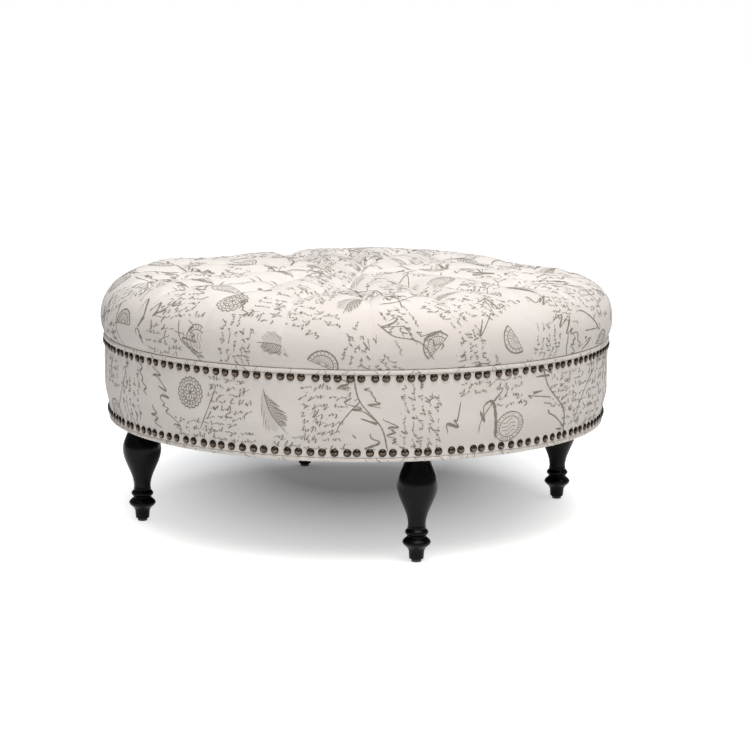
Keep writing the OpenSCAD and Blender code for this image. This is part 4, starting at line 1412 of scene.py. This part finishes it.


# A matt floor that glows white for the camera, with its glow dimmed under the ottoman as a painted shadow,
# and is clear when seen from below
def build_stage():
    bpy.ops.mesh.primitive_plane_add(size=80)
    floor = bpy.context.object
    floor.name = "studio_floor"
    material = bpy.data.materials.new("white_floor")
    material.use_nodes = True
    tree = material.node_tree
    tree.nodes.clear()
    seen = rays_of(tree, "Camera", "Glossy", "Transmission")
    matt = add_node(tree, "ShaderNodeBsdfDiffuse", {"Color": (0.90, 0.90, 0.90, 1)})
    # Painted shadow: the glow is lowest in an oval round this spot, under and behind the ottoman
    painted_shadow_mapping = {
        "Vector": object_place(tree),
        "Location": TOWARD @ Vector(PAINTED_SHADOW_SPOT),
        "Rotation": (0, 0, VIEW_TURN),
        "Scale": PAINTED_SHADOW_OVAL,
    }
    oval = add_node(tree, "ShaderNodeMapping", painted_shadow_mapping, vector_type="TEXTURE").outputs[0]
    away = add_node(tree, "ShaderNodeVectorMath", {0: oval}, operation="LENGTH").outputs["Value"]
    lift = math_node(tree, "ADD", *[between(tree, away, *limits) for limits in FLOOR_GLOW])
    strength = math_node(tree, "MULTIPLY", seen, lift)
    glow = add_node(tree, "ShaderNodeEmission", {"Color": (1, 1, 1, 1), "Strength": strength})
    both = add_node(tree, "ShaderNodeAddShader", {0: matt.outputs[0], 1: glow.outputs[0]})
    under = add_node(tree, "ShaderNodeNewGeometry").outputs["Backfacing"]
    clear = add_node(tree, "ShaderNodeBsdfTransparent").outputs[0]
    shown = add_node(tree, "ShaderNodeMixShader", {0: under, 1: both.outputs[0], 2: clear})
    add_node(tree, "ShaderNodeOutputMaterial", {"Surface": shown.outputs[0]})
    floor.data.materials.append(material)


# White for the camera, a dim room for everything that the world lights or is mirrored in
def build_world():
    world = bpy.data.worlds.new("studio")
    bpy.context.scene.world = world
    world.use_nodes = True
    tree = world.node_tree
    tree.nodes.clear()
    room = add_node(tree, "ShaderNodeBackground", {"Color": (1.0, 0.98, 0.96, 1), "Strength": 0.25})
    white = add_node(tree, "ShaderNodeBackground", {"Color": (1, 1, 1, 1), "Strength": 1.0})
    shares = {0: rays_of(tree, "Camera", "Transmission"), 1: room.outputs[0], 2: white.outputs[0]}
    mixed = add_node(tree, "ShaderNodeMixShader", shares)
    add_node(tree, "ShaderNodeOutputWorld", {"Surface": mixed.outputs[0]})


def add_lamps():
    for name, (place, size, power, tint) in LAMPS.items():
        lamp = bpy.data.lights.new(name, "AREA")
        lamp.shape = "DISK"
        lamp.size = size
        lamp.energy = power
        lamp.color = tint
        place = TOWARD @ Vector(place)
        aim = (LAMP_AIM - place).to_track_quat("-Z", "Y").to_matrix().to_4x4()
        add_object(name, lamp).matrix_world = Matrix.Translation(place) @ aim


def add_camera():
    back = -VIEW_DISTANCE * math.cos(VIEW_LIFT)
    place = TOWARD @ Vector((VIEW_OFFSET, back, VIEW_DISTANCE * math.sin(VIEW_LIFT)))
    forward = TOWARD @ Vector((0, math.cos(VIEW_PITCH), -math.sin(VIEW_PITCH)))
    right = TOWARD @ Vector((1, 0, 0))
    up = right.cross(forward)
    right_rolled = right * math.cos(VIEW_ROLL) + up * math.sin(VIEW_ROLL)
    up_rolled = up * math.cos(VIEW_ROLL) - right * math.sin(VIEW_ROLL)
    camera = add_object("camera", bpy.data.cameras.new("camera"))
    rows = Matrix((right_rolled, up_rolled, -forward)).transposed().to_4x4()
    camera.matrix_world = Matrix.Translation(place) @ rows
    camera.data.sensor_width = SENSOR_W
    camera.data.lens = FOCAL_PX * SENSOR_W / PHOTO_PX
    camera.data.clip_end = 200
    bpy.context.scene.camera = camera


build_stage()
build_world()
add_lamps()
add_camera()
bpy.context.scene.view_settings.view_transform = "Standard"
